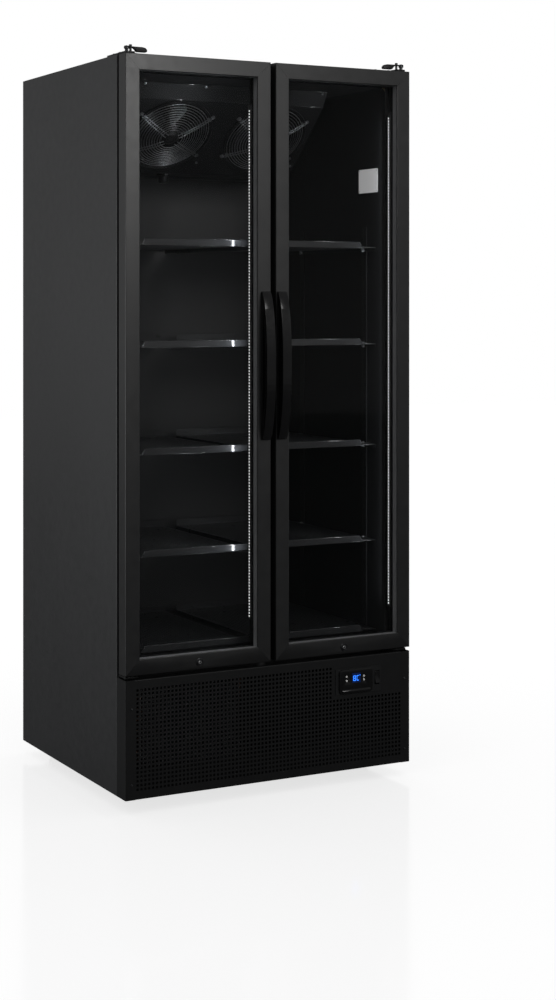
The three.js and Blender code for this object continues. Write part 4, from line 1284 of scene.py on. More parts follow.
class MERCHANDISER_OT_doors(bpy.types.Operator):
    """Mitred door frames, spacer bars, panes, bellows gaskets and light strips"""
    bl_idname = "merchandiser.doors"
    bl_label = "Doors"

    def execute(self, context):
        stile, rail, gap = sizes().door_stile, sizes().door_rail, sizes().mitre_gap
        for name, side in SIDES:
            body = f"door_{name}"
            x0, x1 = (v * MM for v in flip(side, 8, 445))
            low, high = (x0, 0.365), (x1, 2.0067)
            deep = FACE_Y
            profile = [(0.0, 0.0018), (0.010, 0.0007), (0.038, 0.0), (0.955, 0.0), (0.985, 0.0004),
                       (1.0, 0.0013), (1.0, 0.0030), (0.766, 0.0030), (0.766, 0.0297), (1.0, 0.0297),
                       (1.0, 0.0425), (0.965, 0.0440), (0.035, 0.0440), (0.0, 0.0425)]
            bm = bmesh.new()
            add_mitred_ring(bm, [(s, deep + y) for s, y in profile], low, high, stile, rail, gap,
                            separate=True)
            frame_piece = new_object(f"door_rails_{name}", bm, finish("door_paint"))
            axis_x = side * HINGE_X
            cutters = [rod_object(at(axis_x, HINGE_DEPTH, z0), at(axis_x, HINGE_DEPTH, z1), 0.00445, 24)
                       for z0, z1 in ((360, 379), (1992.7, 2010))]
            cutters.append(rod_object(at(side * LOCK_X, -5, LOCK_Z), at(side * LOCK_X, 24, LOCK_Z),
                                      0.009, 32))
            cut_out(frame_piece, cutters)
            shade_by_angle(frame_piece, 40)
            hand_over(frame_piece, body, "door_paint", f"door_frame_{name}")

            spacer = [(0.900, deep + 0.0072), (0.985, deep + 0.0072), (0.992, deep + 0.0085),
                      (0.992, deep + 0.0238), (0.985, deep + 0.0251), (0.900, deep + 0.0251)]
            bar = built(f"glass_spacer_{name}", finish("spacer_aluminium"),
                        (add_mitred_ring, spacer, low, high, stile, rail))
            hand_over(bar, body, "fin_aluminium")
            dress(finish("glass"), f"glass_outer_{name}", f"glass_inner_{name}")

            g0, g1 = flip(side, 12, 429)
            seal = [(0.0, 44.4), (1.0, 44.4), (1.0, 45.9), (0.80, 46.2), (0.62, 47.2), (0.62, 48.0),
                    (0.86, 48.8), (0.86, 49.7), (0.70, 50.6), (0.92, 51.4), (0.95, 55.4), (0.86, 56.2),
                    (0.30, 56.2), (0.22, 55.3), (0.24, 51.4), (0.34, 50.6), (0.16, 49.7), (0.16, 48.8),
                    (0.36, 48.0), (0.36, 47.2), (0.18, 46.2), (0.0, 45.9)]
            bm = bmesh.new()
            add_mitred_ring(bm, [(s, deep + d * MM) for s, d in seal],
                            (g0 * MM, 0.371), (g1 * MM, 2.0007), 0.020, 0.020)
            gasket = new_object(f"bellows_gasket_{name}", bm, finish("seal_rubber"), smooth=True)
            hand_over(gasket, body, "seal_rubber", f"door_gasket_{name}")

            pitch = sizes().led_pitch
            count = int(1.400 / pitch)
            rows = ((-56.0, -1), (-397.0, 1)) if side < 0 else ((397.0, -1), (56.0, 1))
            lens_bm, spots, aims = bmesh.new(), [], []
            for face_x, facing in rows:
                back_x = face_x - facing * 6.2
                trough = [(back_x, 30.0), (face_x - facing * 1.2, 30.0), (face_x, 31.2), (face_x, 33.2),
                          (face_x - facing * 1.0, 34.0), (face_x - facing * 1.0, 39.6), (face_x, 40.4),
                          (face_x, 42.3), (face_x - facing * 1.2, 43.4), (back_x, 43.4)]
                add_prism(lens_bm, plan_view(trough), "z", 0.478, 1.891)
                first = at(face_x - facing * 1.05, 36.8, 484)
                for i in range(count):
                    spots.append(first + Vector((0, 0, (i + 0.5) * pitch)))
                    aims.append((facing, 0, 0))
            trough = new_object(f"light_channel_{name}", lens_bm, finish("lens"), smooth=True)
            chip_bm = bmesh.new()
            add_box(chip_bm, (-0.0020, -0.0021, -0.0004), (0.0020, 0.0021, 0.0009))
            diodes = repeated(f"diodes_{name}", loose_part("chip", chip_bm), spots, aims,
                              finish("diode"), smooth=False)
            strip = joined(f"light_strip_{name}", trough, diodes)
            hand_over(strip, body, "led_white", f"led_strip_{name}")
        return {"FINISHED"}


class MERCHANDISER_OT_handles(bpy.types.Operator):
    """Bow handles on their backing plates"""
    bl_idname = "merchandiser.handles"
    bl_label = "Handles"

    def execute(self, context):
        for name, side in SIDES:
            reach, middle = 203, 1176
            lower = bezier((-5, -reach), (-22, -reach + 14), (-36, -reach + 90), (-36, -34), 14)
            crown = [(-36, -20), (-36, 0), (-36, 20)]
            upper = [(d, -z) for d, z in lower[::-1]]
            bow = [(0.0, -reach)] + lower + crown + upper + [(0.0, reach)]
            shell = [(FACE_Y + d * BOW * MM - 0.0003, (middle + z) * MM) for d, z in bow]
            inner = bezier((-5, -reach + 40), (-14, -reach + 62), (-24, -reach + 120), (-24, -34), 14)
            inner += [(d, -z) for d, z in inner[::-1]]
            hollow = [(FACE_Y + d * BOW * MM, (middle + z) * MM) for d, z in inner]
            x0, x1 = (v * MM for v in flip(side, 11.3, 38.7))
            handle = built(f"bow_handle_{name}", finish("gloss_plastic"),
                           (add_prism, shell, "x", x0, x1))
            cut_out(handle, [built("cutter", None, (add_prism, hollow, "x", x0 - 0.01, x1 + 0.01))])
            rounded(handle, 0.0046, 4, 40)
            hand_over(handle, f"door_{name}", "gloss_plastic", f"door_handle_{name}")
        return {"FINISHED"}


class MERCHANDISER_OT_locks(bpy.types.Operator):
    """Lock plugs with key slots, and their rings on the doors"""
    bl_idname = "merchandiser.locks"
    bl_label = "Locks"

    def execute(self, context):
        for name, side in SIDES:
            face = aimed(at(side * LOCK_X, 0, LOCK_Z), (0, -1, 0))
            plug = turned(f"lock_barrel_{name}", finish("dark_screw"), face, 36, smooth=False, profile=(
                (0, -0.0208), (0.0084, -0.0208), (0.0084, 0.0012), (0.0076, 0.0022), (0.0045, 0.0025),
                (0, 0.0025)))
            collar = turned("key_collar", finish("chrome"), face, 28, profile=(
                (0.0022, 0.0010), (0.0022, 0.0029), (0.0040, 0.0030), (0.0045, 0.0024),
                (0.0045, 0.0010), (0.0022, 0.0010)))
            slot = span_object((side * LOCK_X - 1.0, side * LOCK_X + 1.0), (-4, 3),
                               (LOCK_Z - 4.6, LOCK_Z + 4.6))
            cut_out(plug, [slot])
            shade_by_angle(plug, 40)
            plug = joined(f"lock_barrel_{name}", plug, collar)
            hand_over(plug, f"lock_{name}", "chrome", f"lock_plug_{name}")
            ring = turned(f"lock_ring_{name}", finish("dark_screw"), face, 36, profile=(
                (0.0092, -0.002), (0.0092, 0.0012), (0.0098, 0.0016), (0.0112, 0.0012),
                (0.0118, 0.0001), (0.0118, -0.002), (0.0092, -0.002)))
            hand_over(ring, f"door_{name}", "chrome")
        return {"FINISHED"}


# ---------------------------------------------------------------- hinges

class MERCHANDISER_OT_hinges(bpy.types.Operator):
    """Top hinges with their bolts and spring levers, and bottom hinges with their pins"""
    bl_idname = "merchandiser.hinges"
    bl_label = "Hinges"

    def execute(self, context):
        black, metal = finish("black_enamel"), finish("dark_screw")
        for name, side in SIDES:
            plan = [(366, 135), (366, 62), (405, 62), (410, 12.5), (440.6, 12.5), (440.6, 135)]
            bm = bmesh.new()
            add_prism(bm, fillet(plan_view(plan, side), 0.008, 5), "z", 2.0084, 2.0133)
            plate = rounded(new_object("hinge_plate", bm, black), 0.0007)
            bm = bmesh.new()
            up = (0, 0, 1)
            pin = aimed(at(side * HINGE_X, HINGE_DEPTH, 1994.8), up)
            add_lathe(bm, ((0, 0), (0.0034, 0), (0.004, 0.0008), (0.004, 0.0137), (0.004, 0.018),
                           (0.0048, 0.0186), (0.0048, 0.0250), (0.0072, 0.0256), (0.0075, 0.0305),
                           (0.0064, 0.0330), (0.0030, 0.0342), (0, 0.0344)), pin, 28)
            post = aimed(at(side * 418, 28, 2012), up)
            add_lathe(bm, ((0, 0), (0.0034, 0), (0.0034, 0.0120), (0.0042, 0.0130), (0.0042, 0.0195),
                           (0.0034, 0.0208), (0, 0.0210)), post, 24)
            bolts = new_object("hinge_bolts", bm, metal, smooth=True)
            lever = [(401, 2013.6), (374, 2013.6), (371.0, 2015.8), (371.4, 2020.5), (376, 2025.4),
                     (385, 2027.2), (429, 2027.6), (429.6, 2025.0), (413, 2024.2), (408, 2021.8)]
            bm = bmesh.new()
            add_prism(bm, front_view(lever, side), "y", FACE_Y + 22.2 * MM, FACE_Y + 33.8 * MM)
            spring = rounded(new_object("hinge_lever", bm, black), 0.0014, 3)
            whole = joined(f"top_hinge_detail_{name}", plate, bolts, spring)
            hand_over(whole, "cabinet", "black_enamel", f"top_hinge_{name}")
            spots = [at(side * x, d, 2013.3) for x, d in ((380, 80), (380, 118), (424, 118), (424, 80))]
            add_heads(f"top_hinge_screws_{name}", hex_bolt("bolt", 0.0046, 0.0052), spots, up,
                      "dark_screw")

            arm = [(385.4, 56.2), (385.4, 30), (405, 10.4), (440.6, 10.4), (440.6, 56.2)]
            bm = bmesh.new()
            add_prism(bm, fillet(plan_view(arm, side), 0.007, 5), "z", 0.3562, 0.3609)
            wall = ((385.4, 360.6), (385.4, 296.4), (440.6, 296.4), (440.6, 360.6))
            add_prism(bm, fillet(front_view(wall, side), 0.005, 4), "y",
                      FACE_Y + 53.5 * MM, FACE_Y + 56.3 * MM)
            bracket = rounded(new_object("hinge_bracket", bm, black), 0.0005)
            bm = bmesh.new()
            pin = aimed(at(side * HINGE_X, HINGE_DEPTH, 352), up)
            add_lathe(bm, ((0, 0), (0.0066, 0), (0.0072, 0.0012), (0.0072, 0.0040), (0.004, 0.0042),
                           (0.004, 0.0092), (0.0062, 0.0092), (0.0062, 0.0115), (0.004, 0.0118),
                           (0.004, 0.0240), (0.0033, 0.0249), (0, 0.0249)), pin, 28)
            pivot = new_object("hinge_pivot", bm, metal, smooth=True)
            whole = joined(f"bottom_hinge_detail_{name}", bracket, pivot)
            hand_over(whole, "cabinet", "black_enamel", f"bottom_hinge_{name}")
        return {"FINISHED"}


# ---------------------------------------------------------------- grille and controls

class MERCHANDISER_OT_grille(bpy.types.Operator):
    """Perforated front tray with folded sides, and its raised control plate"""
    bl_idname = "merchandiser.grille"
    bl_label = "Grille"

    def execute(self, context):
        paint = finish("grille_paint")
        pitch, hole = sizes().grille_pitch, sizes().grille_hole
        columns, rows = int(0.835 / pitch), int(0.2745 / pitch)
        half, mid_z = columns * pitch / 2, 195.5 * MM
        top, bottom = mid_z + rows * pitch / 2, mid_z - rows * pitch / 2
        clear_x = -half + pitch * (int((0.195 + half) / pitch) + 0.0)
        clear_z = bottom + pitch * (int((0.236 - bottom) / pitch) + 1.0)
        place = Matrix.Translation(Vector((0, FACE_Y, mid_z))) @ Matrix.Rotation(math.pi / 2, 4, "X")
        sheet = perforated_sheet("grille_sheet", columns, rows, pitch, hole, 0.0012, place, paint,
                                 clear_x, clear_z - mid_z)
        bm = bmesh.new()
        wide, skin = half / MM, (FACE_Y, FACE_Y + 1.2 * MM)
        for side in (-1, 1):
            fold = [(wide, 0.0), (445.0, 0.0), (445.0, 55.6), (443.8, 55.6), (443.8, 1.2), (wide, 1.2)]
            fold = square_seam(fillet(plan_view(fold, side), 0.0028, 4), 0, side * half, skin)
            add_prism(bm, fold, "z", 0.0380, 0.3540)
        for outline, seam in (
                ([(0.0, top / MM), (0.0, 354.0), (14.0, 354.0), (14.0, 352.8), (1.2, 352.8),
                  (1.2, top / MM)], top),
                ([(0.0, bottom / MM), (0.0, 38.0), (55.4, 38.0), (55.4, 39.2), (1.2, 39.2),
                  (1.2, bottom / MM)], bottom)):
            points = fillet(side_view(outline), 0.0024, 4)
            add_prism(bm, square_seam(points, 1, seam, skin), "x", -half, half)
        slot_x, slot_z = (326.9, 342.1), (269.8, 308.2)
        add_plate_with_slot(bm, (clear_x / MM, wide), (0.0, 1.2), (clear_z / MM, top / MM), slot_x,
                            slot_z)
        border = new_object("grille_border", bm, paint, smooth=True)
        bm = bmesh.new()
        add_plate_with_slot(bm, (198, 347), (-2.0, -0.02), (251, 323), slot_x, slot_z)
        plate = rounded(new_object("control_plate", bm, finish("plate_paint")), 0.0007, 2, 40)
        tray = joined("grille_tray", sheet, border, plate)
        hand_over(tray, "cabinet", "cabinet_paint", "grille_panel")
        bm = bmesh.new()
        shield = [(55.5, 38.1), (57.9, 38.1), (59.4, 41.0), (59.4, 73.4), (62.0, 76.5), (60.2, 76.8),
                  (57.2, 74.4), (57.2, 41.6)]
        add_prism(bm, side_view(shield), "x", -0.4415, 0.4415)
        apron = new_object("lower_apron", bm, finish("black_enamel"))
        hand_over(apron, "cabinet", "black_enamel")
        bm = bmesh.new()
        for _, side in SIDES:
            add_span(bm, (side * 417, side * 443.6), (48, 55.4), (42, 350))
        seals = rounded(new_object("grille_seals", bm, finish("seal_rubber")), 0.0015)
        hand_over(seals, "cabinet", "seal_rubber")
        spots = [at(x, -0.1, z) for x in (-427, 427) for z in (78, 278)]
        add_heads("grille_screws", pan_screw("screw", 0.0034, 0.0020), spots, (0, -1, 0), "dark_screw")
        return {"FINISHED"}


def square_seam(points, across, seam, faces):
    """Undo the rounding where an outline meets the sheet, so the two lie flush."""
    kept = []
    for point in points:
        point = list(point)
        if abs(point[across] - seam) < 0.0008:
            point[across] = seam
            point[1 - across] = min(faces, key=lambda v: abs(v - point[1 - across]))
        if not kept or (Vector(kept[-1]) - Vector(point)).length > 1e-6:
            kept.append(point)
    if (Vector(kept[-1]) - Vector(kept[0])).length < 1e-6:
        kept.pop()
    return kept


def segment_bars(lit, x, z, height, width, thick):
    """Spans of a seven-bar digit's lit bars.

    The bars are a top, b and c right, d bottom, e and f left, g middle."""
    half, low, high = width / 2, z - height / 2, z + height / 2
    inset = thick * 0.35
    across = (x - half + thick * 0.6, x + half - thick * 0.6)
    spans = {
        "a": (across, (high - thick, high)), "g": (across, (z - thick / 2, z + thick / 2)),
        "d": (across, (low, low + thick)),
        "b": ((x + half - thick, x + half), (z + inset, high - inset)),
        "c": ((x + half - thick, x + half), (low + inset, z - inset)),
        "f": ((x - half, x - half + thick), (z + inset, high - inset)),
        "e": ((x - half, x - half + thick), (low + inset, z - inset))}
    return [spans[k] for k in lit]


class MERCHANDISER_OT_controls(bpy.types.Operator):
    """Thermostat bezel with its lit display, the push buttons and the light switch"""
    bl_idname = "merchandiser.controls"
    bl_label = "Controls"

    def execute(self, context):
        gloss = finish("gloss_plastic")
        bm = bmesh.new()
        outline = front_view(((208.2, 253.2), (316.8, 253.2), (316.8, 320.8), (208.2, 320.8)))
        add_prism(bm, fillet(outline, 0.012, 8), "y",
                  FACE_Y - 6.3 * MM, FACE_Y - 2.2 * MM)
        bezel = new_object("thermostat_bezel", bm, gloss)
        cutters = [span_object((249.5, 278.5), (-8, -4.9), (281.5, 309.0))]
        for _, x, z in BUTTONS:
            cutters.append(rod_object(at(x, -9, z), at(x, -3, z), 0.0036, 24))
        cut_out(bezel, cutters)
        rounded(bezel, 0.0009, 2, 50)
        bm = bmesh.new()
        chin = ((-6.0, 265.5), (-8.2, 264.0), (-9.8, 260.5), (-9.6, 257.0), (-7.6, 254.6),
                (-4.0, 254.0), (-4.0, 265.5))
        add_prism(bm, side_view(chin), "x", 0.2165, 0.3085)
        lip = rounded(new_object("thermostat_chin", bm, gloss), 0.0006, 2, 50)
        box = rounded(built("thermostat_box", finish("moulded_plastic"),
                            (add_span, (213, 312), (-2.0, 41.8), (256.5, 317))), 0.001)
        housing = joined("thermostat_housing", bezel, lip, box)
        hand_over(housing, "cabinet", "gloss_plastic", "controller_bezel")
        # the window's faint blue emission is painted glow round the lit digits
        window = rounded(built("display_window", finish("display_window"),
                               (add_span, (250, 278), (-5.2, -4.6), (282, 308.5))), 0.0002)
        bm = bmesh.new()
        bars = segment_bars("abcdefg", 257.6, 294.5, 15.0, 8.6, 2.0)
        bars += segment_bars("adef", 268.6, 294.5, 15.0, 8.0, 2.0)
        bars.append(((274.2, 276.6), (300.8, 303.2)))
        for x, z in bars:
            add_span(bm, x, (-5.45, -5.1), z)
        digits = new_object("display_digits", bm, finish("digit_light"))
        screen = joined("lit_display", window, digits)
        hand_over(screen, "cabinet", "gloss_plastic")

        for node, x, z in BUTTONS:
            bm = bmesh.new()
            add_lathe(bm, ((0, 0.0040), (0.0030, 0.0040), (0.0031, 0.0060), (0.0028, 0.0067),
                           (0.0018, 0.0070), (0, 0.0066)), aimed(at(x, 0, z), (0, -1, 0)), 24)
            cap = new_object(f"{node}_cap", bm, finish("white_plastic"), smooth=True)
            hand_over(cap, node, "white_plastic", node)

        bm = bmesh.new()
        lean = Matrix.Translation(at(334.5, 1, 289)) @ Matrix.Rotation(math.radians(-6.9), 4, "X")
        side = [(-4.2, -16.6), (-4.9, -15.2), (-2.6, 0.0), (-4.9, 15.2), (-4.2, 16.6), (6.0, 15.0),
                (8.6, 5.0), (8.6, -5.0), (6.0, -15.0)]
        ends = []
        for x in (-6.6, 6.6):
            ends.append([bm.verts.new(lean @ Vector((x * MM, d * MM, z * MM))) for d, z in side])
        for k in range(len(side)):
            m = (k + 1) % len(side)
            bm.faces.new((ends[0][k], ends[0][m], ends[1][m], ends[1][k]))
        bm.faces.new(ends[0][::-1])
        bm.faces.new(ends[1])
        rocker = rounded(new_object("rocker_cap", bm, gloss), 0.0006, 2, 25)
        hand_over(rocker, "light_switch", "gloss_plastic", "light_switch")
        return {"FINISHED"}


# ---------------------------------------------------------------- machine compartment

class MERCHANDISER_OT_condenser(bpy.types.Operator):
    """Finned condenser with its tube bends, fan shroud, motor and blades"""
    bl_idname = "merchandiser.condenser"
    bl_label = "Condenser"

    def execute(self, context):
        pitch = sizes().fin_pitch
        count = int(0.290 / pitch)
        bm = bmesh.new()
        add_box(bm, (-0.0001, -0.0435, -0.118), (0.0001, 0.0435, 0.118))
        start = CONDENSER_X * MM - (count - 1) * pitch / 2
        spots = [Vector((start + i * pitch, FACE_Y + 0.124, 0.2005)) for i in range(count)]
        fins = repeated("condenser_fins", loose_part("fin", bm), spots,
                        [(0, 0, 1)] * count, finish("fin_aluminium"), smooth=False)
        hand_over(fins, "cabinet", "fin_aluminium", "condenser_coil")
        bm = bmesh.new()
        for x in (-364.5, -66.5):
            add_span(bm, (x, x + 1.5), (80.5, 168), (77.6, 324.5))
        add_span(bm, (-364, -66), (80.5, 167), (77.5, 79.0))
        add_span(bm, (-364, -66), (80.5, 167), (323.3, 324.8))
        face = aimed(at(CONDENSER_X, 168.5, CONDENSER_Z), (0, 1, 0))
        add_lathe(bm, ((0.101, 0.0), (0.112, 0.0), (0.112, 0.0015), (0.104, 0.003), (0.1025, 0.030),
                       (0.1013, 0.030), (0.101, 0.0)), face, 56)
        brackets = rounded(new_object("condenser_frame", bm, finish("zinc_steel")), 0.0003, 1, 50)
        hand_over(brackets, "cabinet", "zinc_steel")
        bm = bmesh.new()
        for row, depth in ((0, 104), (1, 144)):
            for i in range(4):
                z = 107 + i * 58 + row * 8
                for side, x in ((-1, -363), (1, -67)):
                    line = [at(x - side * 4, depth, z)]
                    for k in range(11):
                        angle = math.pi * k / 10
                        line.append(at(x + side * 12.0 * math.sin(angle), depth,
                                       z + 14.5 - 14.5 * math.cos(angle)))
                    line.append(at(x - side * 4, depth, z + 29))
                    add_tube(bm, line, 0.0040, 8)
        bends = new_object("condenser_bends", bm, finish("copper"), smooth=True)
        hand_over(bends, "cabinet", "fin_aluminium")
        bm = bmesh.new()
        add_lathe(bm, ((0, 0.033), (0.030, 0.033), (0.036, 0.036), (0.038, 0.048), (0.038, 0.066),
                       (0.034, 0.073), (0.014, 0.078), (0, 0.079)), face, 40)
        add_lathe(bm, ((0, 0.026), (0.0045, 0.026), (0.0045, 0.040), (0, 0.040)), face, 16)
        for degrees in (30, 150, 270):
            turn = face @ Matrix.Rotation(math.radians(degrees), 4, "Z")
            line = [turn @ Vector((r, 0, h)) for r, h in
                    ((0.034, 0.060), (0.060, 0.060), (0.090, 0.054), (0.104, 0.034), (0.107, 0.001))]
            add_tube(bm, line, 0.0028, 8)
        motor = new_object("condenser_motor", bm, finish("black_enamel"), smooth=True)
        hand_over(motor, "cabinet", "black_enamel")
        bm = bmesh.new()
        spin = aimed(at(CONDENSER_X, 172, CONDENSER_Z), (0, 1, 0)) @ Matrix.Translation((0, 0, 0.026))
        add_impeller(bm, spin, 0.028, 0.0970, 5, 0.0258, 0.98, gap=0.0006)
        blades = new_object("condenser_blades", bm, finish("fin_aluminium"), smooth=True)
        hand_over(blades, "condenser_fan", "fin_aluminium", "condenser_fan_blade")
        return {"FINISHED"}


class MERCHANDISER_OT_compressor(bpy.types.Operator):
    """Welded compressor shell on rubber feet, with its terminal box and pipes"""
    bl_idname = "merchandiser.compressor"
    bl_label = "Compressor"

    def execute(self, context):
        bm = bmesh.new()
        base = Matrix.Translation(at(COMPRESSOR_X, COMPRESSOR_DEPTH, 0))
        add_lathe(bm, ((0, 0.096), (0.052, 0.097), (0.074, 0.104), (0.084, 0.118), (0.0865, 0.140),
                       (0.0865, 0.176), (0.0878, 0.178), (0.0878, 0.183), (0.0855, 0.185),
                       (0.0850, 0.225), (0.0800, 0.250), (0.0660, 0.272), (0.0400, 0.284), (0, 0.287)),
                  base, 56)
        shell = new_object("compressor_shell", bm, finish("black_enamel"), smooth=True)
        bm = bmesh.new()
        for dx, dy in ((-1, -1), (1, -1), (1, 1), (-1, 1)):
            foot = Matrix.Translation(at(COMPRESSOR_X + dx * 84, COMPRESSOR_DEPTH + dy * 72, 0))
            add_lathe(bm, ((0, 0.0776), (0.013, 0.0776), (0.0135, 0.084), (0.010, 0.087),
                           (0.012, 0.093), (0, 0.094)), foot, 20)
        feet = new_object("compressor_feet", bm, finish("seal_rubber"), smooth=True)
        bm = bmesh.new()
        plan = fillet([(0.120, FACE_Y + 0.386), (0.310, FACE_Y + 0.386), (0.310, FACE_Y + 0.554),
                       (0.120, FACE_Y + 0.554)], 0.014, 5)
        add_prism(bm, plan, "z", 0.0942, 0.0972)
        add_span(bm, (298, 322), (448, 492), (150, 215))
        cradle = rounded(new_object("compressor_cradle", bm, finish("black_enamel")), 0.0012)
        bm = bmesh.new()
        for line in (
                [(140, 430, 150), (118, 420, 152), (112, 410, 170), (112, 404, 240), (118, 400, 275),
                 (140, 396, 290), (180, 392, 296)],
                [(215, 558, 190), (215, 566, 194), (200, 572, 220), (160, 574, 270), (130, 574, 300)]):
            smooth_line = []
            for a, b in zip(line, line[1:]):
                for k in range(4):
                    smooth_line.append(at(*(p + (q - p) * k / 4 for p, q in zip(a, b))))
            for _ in range(3):
                smooth_line = [smooth_line[0]] + [
                    (smooth_line[i - 1] + 2 * smooth_line[i] + smooth_line[i + 1]) / 4
                    for i in range(1, len(smooth_line) - 1)] + [smooth_line[-1]]
            add_tube(bm, smooth_line, 0.0040, 10)
        pipes = new_object("compressor_pipes", bm, finish("copper"), smooth=True)
        whole = joined("compressor_unit", shell, feet, cradle, pipes)
        hand_over(whole, "cabinet", "black_enamel", "compressor")
        return {"FINISHED"}


class MERCHANDISER_OT_castors(bpy.types.Operator):
    """Pressed castor forks and moulded wheels"""
    bl_idname = "merchandiser.castors"
    bl_label = "Castors"

    def execute(self, context):
        for end, pivot in (("front", 120), ("rear", 640)):
            for name, side in SIDES:
                x, axle = side * 375, pivot + 20
                key = f"{end}_{name}"
                bm = bmesh.new()
                add_lathe(bm, ((0, 0.0625), (0.0175, 0.0625), (0.0205, 0.0650), (0.0205, 0.0690),
                               (0.0175, 0.0705), (0.0048, 0.0705), (0.0048, 0.0792), (0.0040, 0.0802),
                               (0, 0.0802)), Matrix.Translation(at(x, pivot, 0)), 32)
                races = new_object("fork_race", bm, finish("zinc_steel"), smooth=True)
                bm = bmesh.new()
                cheek = [(pivot - 18, 64), (pivot + 17, 64), (axle + 7.5, 44), (axle + 8, 26),
                         (axle + 5.5, 19), (axle, 17.2), (axle - 5.5, 19), (axle - 9, 28),
                         (pivot - 18, 56)]
                points = fillet(side_view(cheek), 0.005, 4)
                for edge in (-1, 1):
                    spans = sorted((x + edge * 11.0, x + edge * 13.2))
                    add_prism(bm, points, "x", spans[0] * MM, spans[1] * MM)
                add_span(bm, (x - 13.2, x + 13.2), (pivot - 18, pivot + 17), (61.8, 64.0))
                fork = rounded(new_object("fork_body", bm, finish("zinc_steel")), 0.0005)
                bm = bmesh.new()
                for edge in (-1, 1):
                    add_lathe(bm, ((0, -0.001), (0.0050, -0.001), (0.0050, 0.0030), (0.0038, 0.0042),
                                   (0, 0.0044)), aimed(at(x + edge * 13.1, axle, 25), (edge, 0, 0)), 6)
                nuts = new_object("fork_nuts", bm, finish("screw_steel"))
                whole = joined(f"castor_fork_detail_{key}", races, fork, nuts)
                hand_over(whole, f"castor_{key}", "zinc_steel", f"castor_fork_{key}")
                bm = bmesh.new()
                across = aimed(at(x, axle, 25), (1, 0, 0))
                add_lathe(bm, ((0.0032, -0.0088), (0.0075, -0.0088), (0.0085, -0.0062),
                               (0.0165, -0.0058), (0.0185, -0.0088), (0.0228, -0.0088),
                               (0.0246, -0.0070), (0.0250, -0.0040), (0.0250, 0.0040),
                               (0.0246, 0.0070), (0.0228, 0.0088), (0.0185, 0.0088), (0.0165, 0.0058),
                               (0.0085, 0.0062), (0.0075, 0.0088), (0.0032, 0.0088),
                               (0.0032, -0.0088)), across, 40)
                wheel = new_object(f"wheel_detail_{key}", bm, finish("wheel_plastic"), smooth=True)
                hand_over(wheel, f"wheel_{key}", "wheel_plastic", f"castor_wheel_{key}")
        return {"FINISHED"}


# ---------------------------------------------------------------- stage

# name, place, target, width, height, power, colour
AREA_LAMPS = (
    ("front_panel", (0.75, -4.7, 2.75), (-0.1, 0.0, 1.5), 1.5, 1.5, 74.0, (1.0, 0.995, 0.985)),
    ("key_panel", (-3.6, -2.2, 3.4), (-0.2, 0.0, 1.2), 2.4, 2.4, 24.0, (1.0, 0.99, 0.97)),
    ("side_panel", (-4.2, 1.2, 0.75), (-0.4, 0.0, 0.65), 2.4, 2.4, 76.0, (0.97, 0.985, 1.0)),
    ("rear_panel_light", (1.5, 4.2, 3.2), (0.0, 0.4, 1.0), 2.6, 2.6, 60.0, WHITE),
    ("left_door_light", at(-52, 62, 1184), at(-152, 152, 1184), 0.004, 1.38, 1.3, (0.9, 0.95, 1.0)),
    ("right_door_light", at(391, 62, 1184), at(291, 152, 1184), 0.004, 1.38, 0.55, (0.9, 0.95, 1.0)))


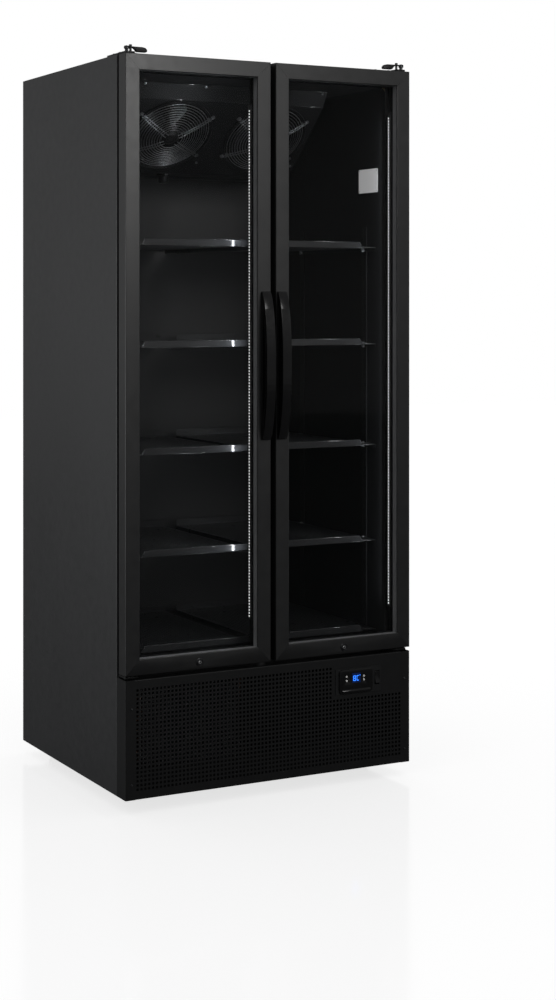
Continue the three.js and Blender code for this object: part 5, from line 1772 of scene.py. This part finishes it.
class MERCHANDISER_OT_stage(bpy.types.Operator):
    """Pale floor, soft lights and the camera"""
    bl_idname = "merchandiser.stage"
    bl_label = "Studio"

    def execute(self, context):
        scene = context.scene
        bm = bmesh.new()
        reach, steps = 14.0, 14
        grid = [[bm.verts.new((-reach + 2 * reach * i / steps, -reach + 2 * reach * j / steps, 0.0))
                 for j in range(steps + 1)] for i in range(steps + 1)]
        for i in range(steps):
            for j in range(steps):
                bm.faces.new((grid[i][j], grid[i + 1][j], grid[i + 1][j + 1], grid[i][j + 1]))
        floor = new_object("studio_floor", bm, finish("floor_paint"))

        unlit = bpy.data.collections.new("floor_and_panes")
        panes = [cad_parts[f"glass_{layer}_{name}"]
                 for layer in ("outer", "inner") for name, _ in SIDES]
        for index, quiet in enumerate([floor, *panes]):
            unlit.objects.link(quiet)
            unlit.collection_objects[index].light_linking.link_state = "EXCLUDE"
        for name, place, target, wide, tall, power, colour in AREA_LAMPS:
            lamp = bpy.data.lights.new(name, "AREA")
            lamp.shape = "RECTANGLE"
            lamp.size, lamp.size_y = wide, tall
            lamp.energy = power
            lamp.color = colour
            holder = bpy.data.objects.new(name, lamp)
            scene.collection.objects.link(holder)
            holder.location = place
            holder.rotation_euler = (Vector(target) - Vector(place)).to_track_quat("-Z", "Y").to_euler()
            holder.visible_camera = False
            holder.light_linking.receiver_collection = unlit

        world = bpy.data.worlds.new("studio")
        scene.world = world
        world.use_nodes = True
        nodes, links = world.node_tree.nodes, world.node_tree.links
        back = nodes["Background"]
        back.inputs["Color"].default_value = (1.0, 1.0, 1.0, 1.0)
        back.inputs["Strength"].default_value = 0.30
        seen = nodes.new("ShaderNodeBackground")
        seen.inputs["Color"].default_value = (1.0, 1.0, 1.0, 1.0)
        seen.inputs["Strength"].default_value = 1.0
        ray = nodes.new("ShaderNodeLightPath")
        mix = nodes.new("ShaderNodeMixShader")
        links.new(ray.outputs["Is Camera Ray"], mix.inputs[0])
        links.new(back.outputs[0], mix.inputs[1])
        links.new(seen.outputs[0], mix.inputs[2])
        links.new(mix.outputs[0], nodes["World Output"].inputs["Surface"])

        lens = bpy.data.cameras.new("camera")
        lens.lens = 64.78
        lens.sensor_width = 36.0
        lens.shift_x = 0.062
        lens.shift_y = -0.2029
        lens.clip_start = 0.05
        lens.clip_end = 60.0
        lens.dof.use_dof = False
        camera = bpy.data.objects.new("camera", lens)
        camera.location = (-2.4089, -4.6592, 1.3689)
        camera.rotation_euler = (math.radians(90 - 0.062), 0.0, math.radians(-27.39))
        scene.collection.objects.link(camera)
        scene.camera = camera
        scene.view_settings.view_transform = "Standard"
        scene.view_settings.look = "None"
        return {"FINISHED"}


# ---------------------------------------------------------------- add-on

OPERATORS = (
    MERCHANDISER_OT_panels, MERCHANDISER_OT_rear, MERCHANDISER_OT_liner, MERCHANDISER_OT_uprights,
    MERCHANDISER_OT_label, MERCHANDISER_OT_evaporator, MERCHANDISER_OT_fans, MERCHANDISER_OT_shelves,
    MERCHANDISER_OT_doors, MERCHANDISER_OT_handles, MERCHANDISER_OT_locks, MERCHANDISER_OT_hinges,
    MERCHANDISER_OT_grille, MERCHANDISER_OT_controls, MERCHANDISER_OT_condenser,
    MERCHANDISER_OT_compressor, MERCHANDISER_OT_castors, MERCHANDISER_OT_stage)


class MERCHANDISER_PT_panel(bpy.types.Panel):
    """Lists the steps that build the merchandiser"""
    bl_idname = "MERCHANDISER_PT_panel"
    bl_label = "Glass Door Merchandiser"
    bl_space_type = "VIEW_3D"
    bl_region_type = "UI"
    bl_category = "Merchandiser"

    def draw(self, context):
        column = self.layout.column()
        for group in (context.scene.merchandiser_sizes, context.scene.merchandiser_colours):
            for key in group.__annotations__:
                column.prop(group, key)
            column.separator()
        for operator in OPERATORS:
            column.operator(operator.bl_idname)


CLASSES = (MerchandiserSizes, MerchandiserColours, *OPERATORS, MERCHANDISER_PT_panel)


def register():
    for entry in CLASSES:
        bpy.utils.register_class(entry)
    bpy.types.Scene.merchandiser_sizes = bpy.props.PointerProperty(type=MerchandiserSizes)
    bpy.types.Scene.merchandiser_colours = bpy.props.PointerProperty(type=MerchandiserColours)


def unregister():
    del bpy.types.Scene.merchandiser_colours
    del bpy.types.Scene.merchandiser_sizes
    for entry in reversed(CLASSES):
        bpy.utils.unregister_class(entry)


def main():
    register()
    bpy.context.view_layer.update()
    for operator in OPERATORS:
        group, step = operator.bl_idname.split(".")
        getattr(getattr(bpy.ops, group), step)()


if __name__ == "__main__":
    main()
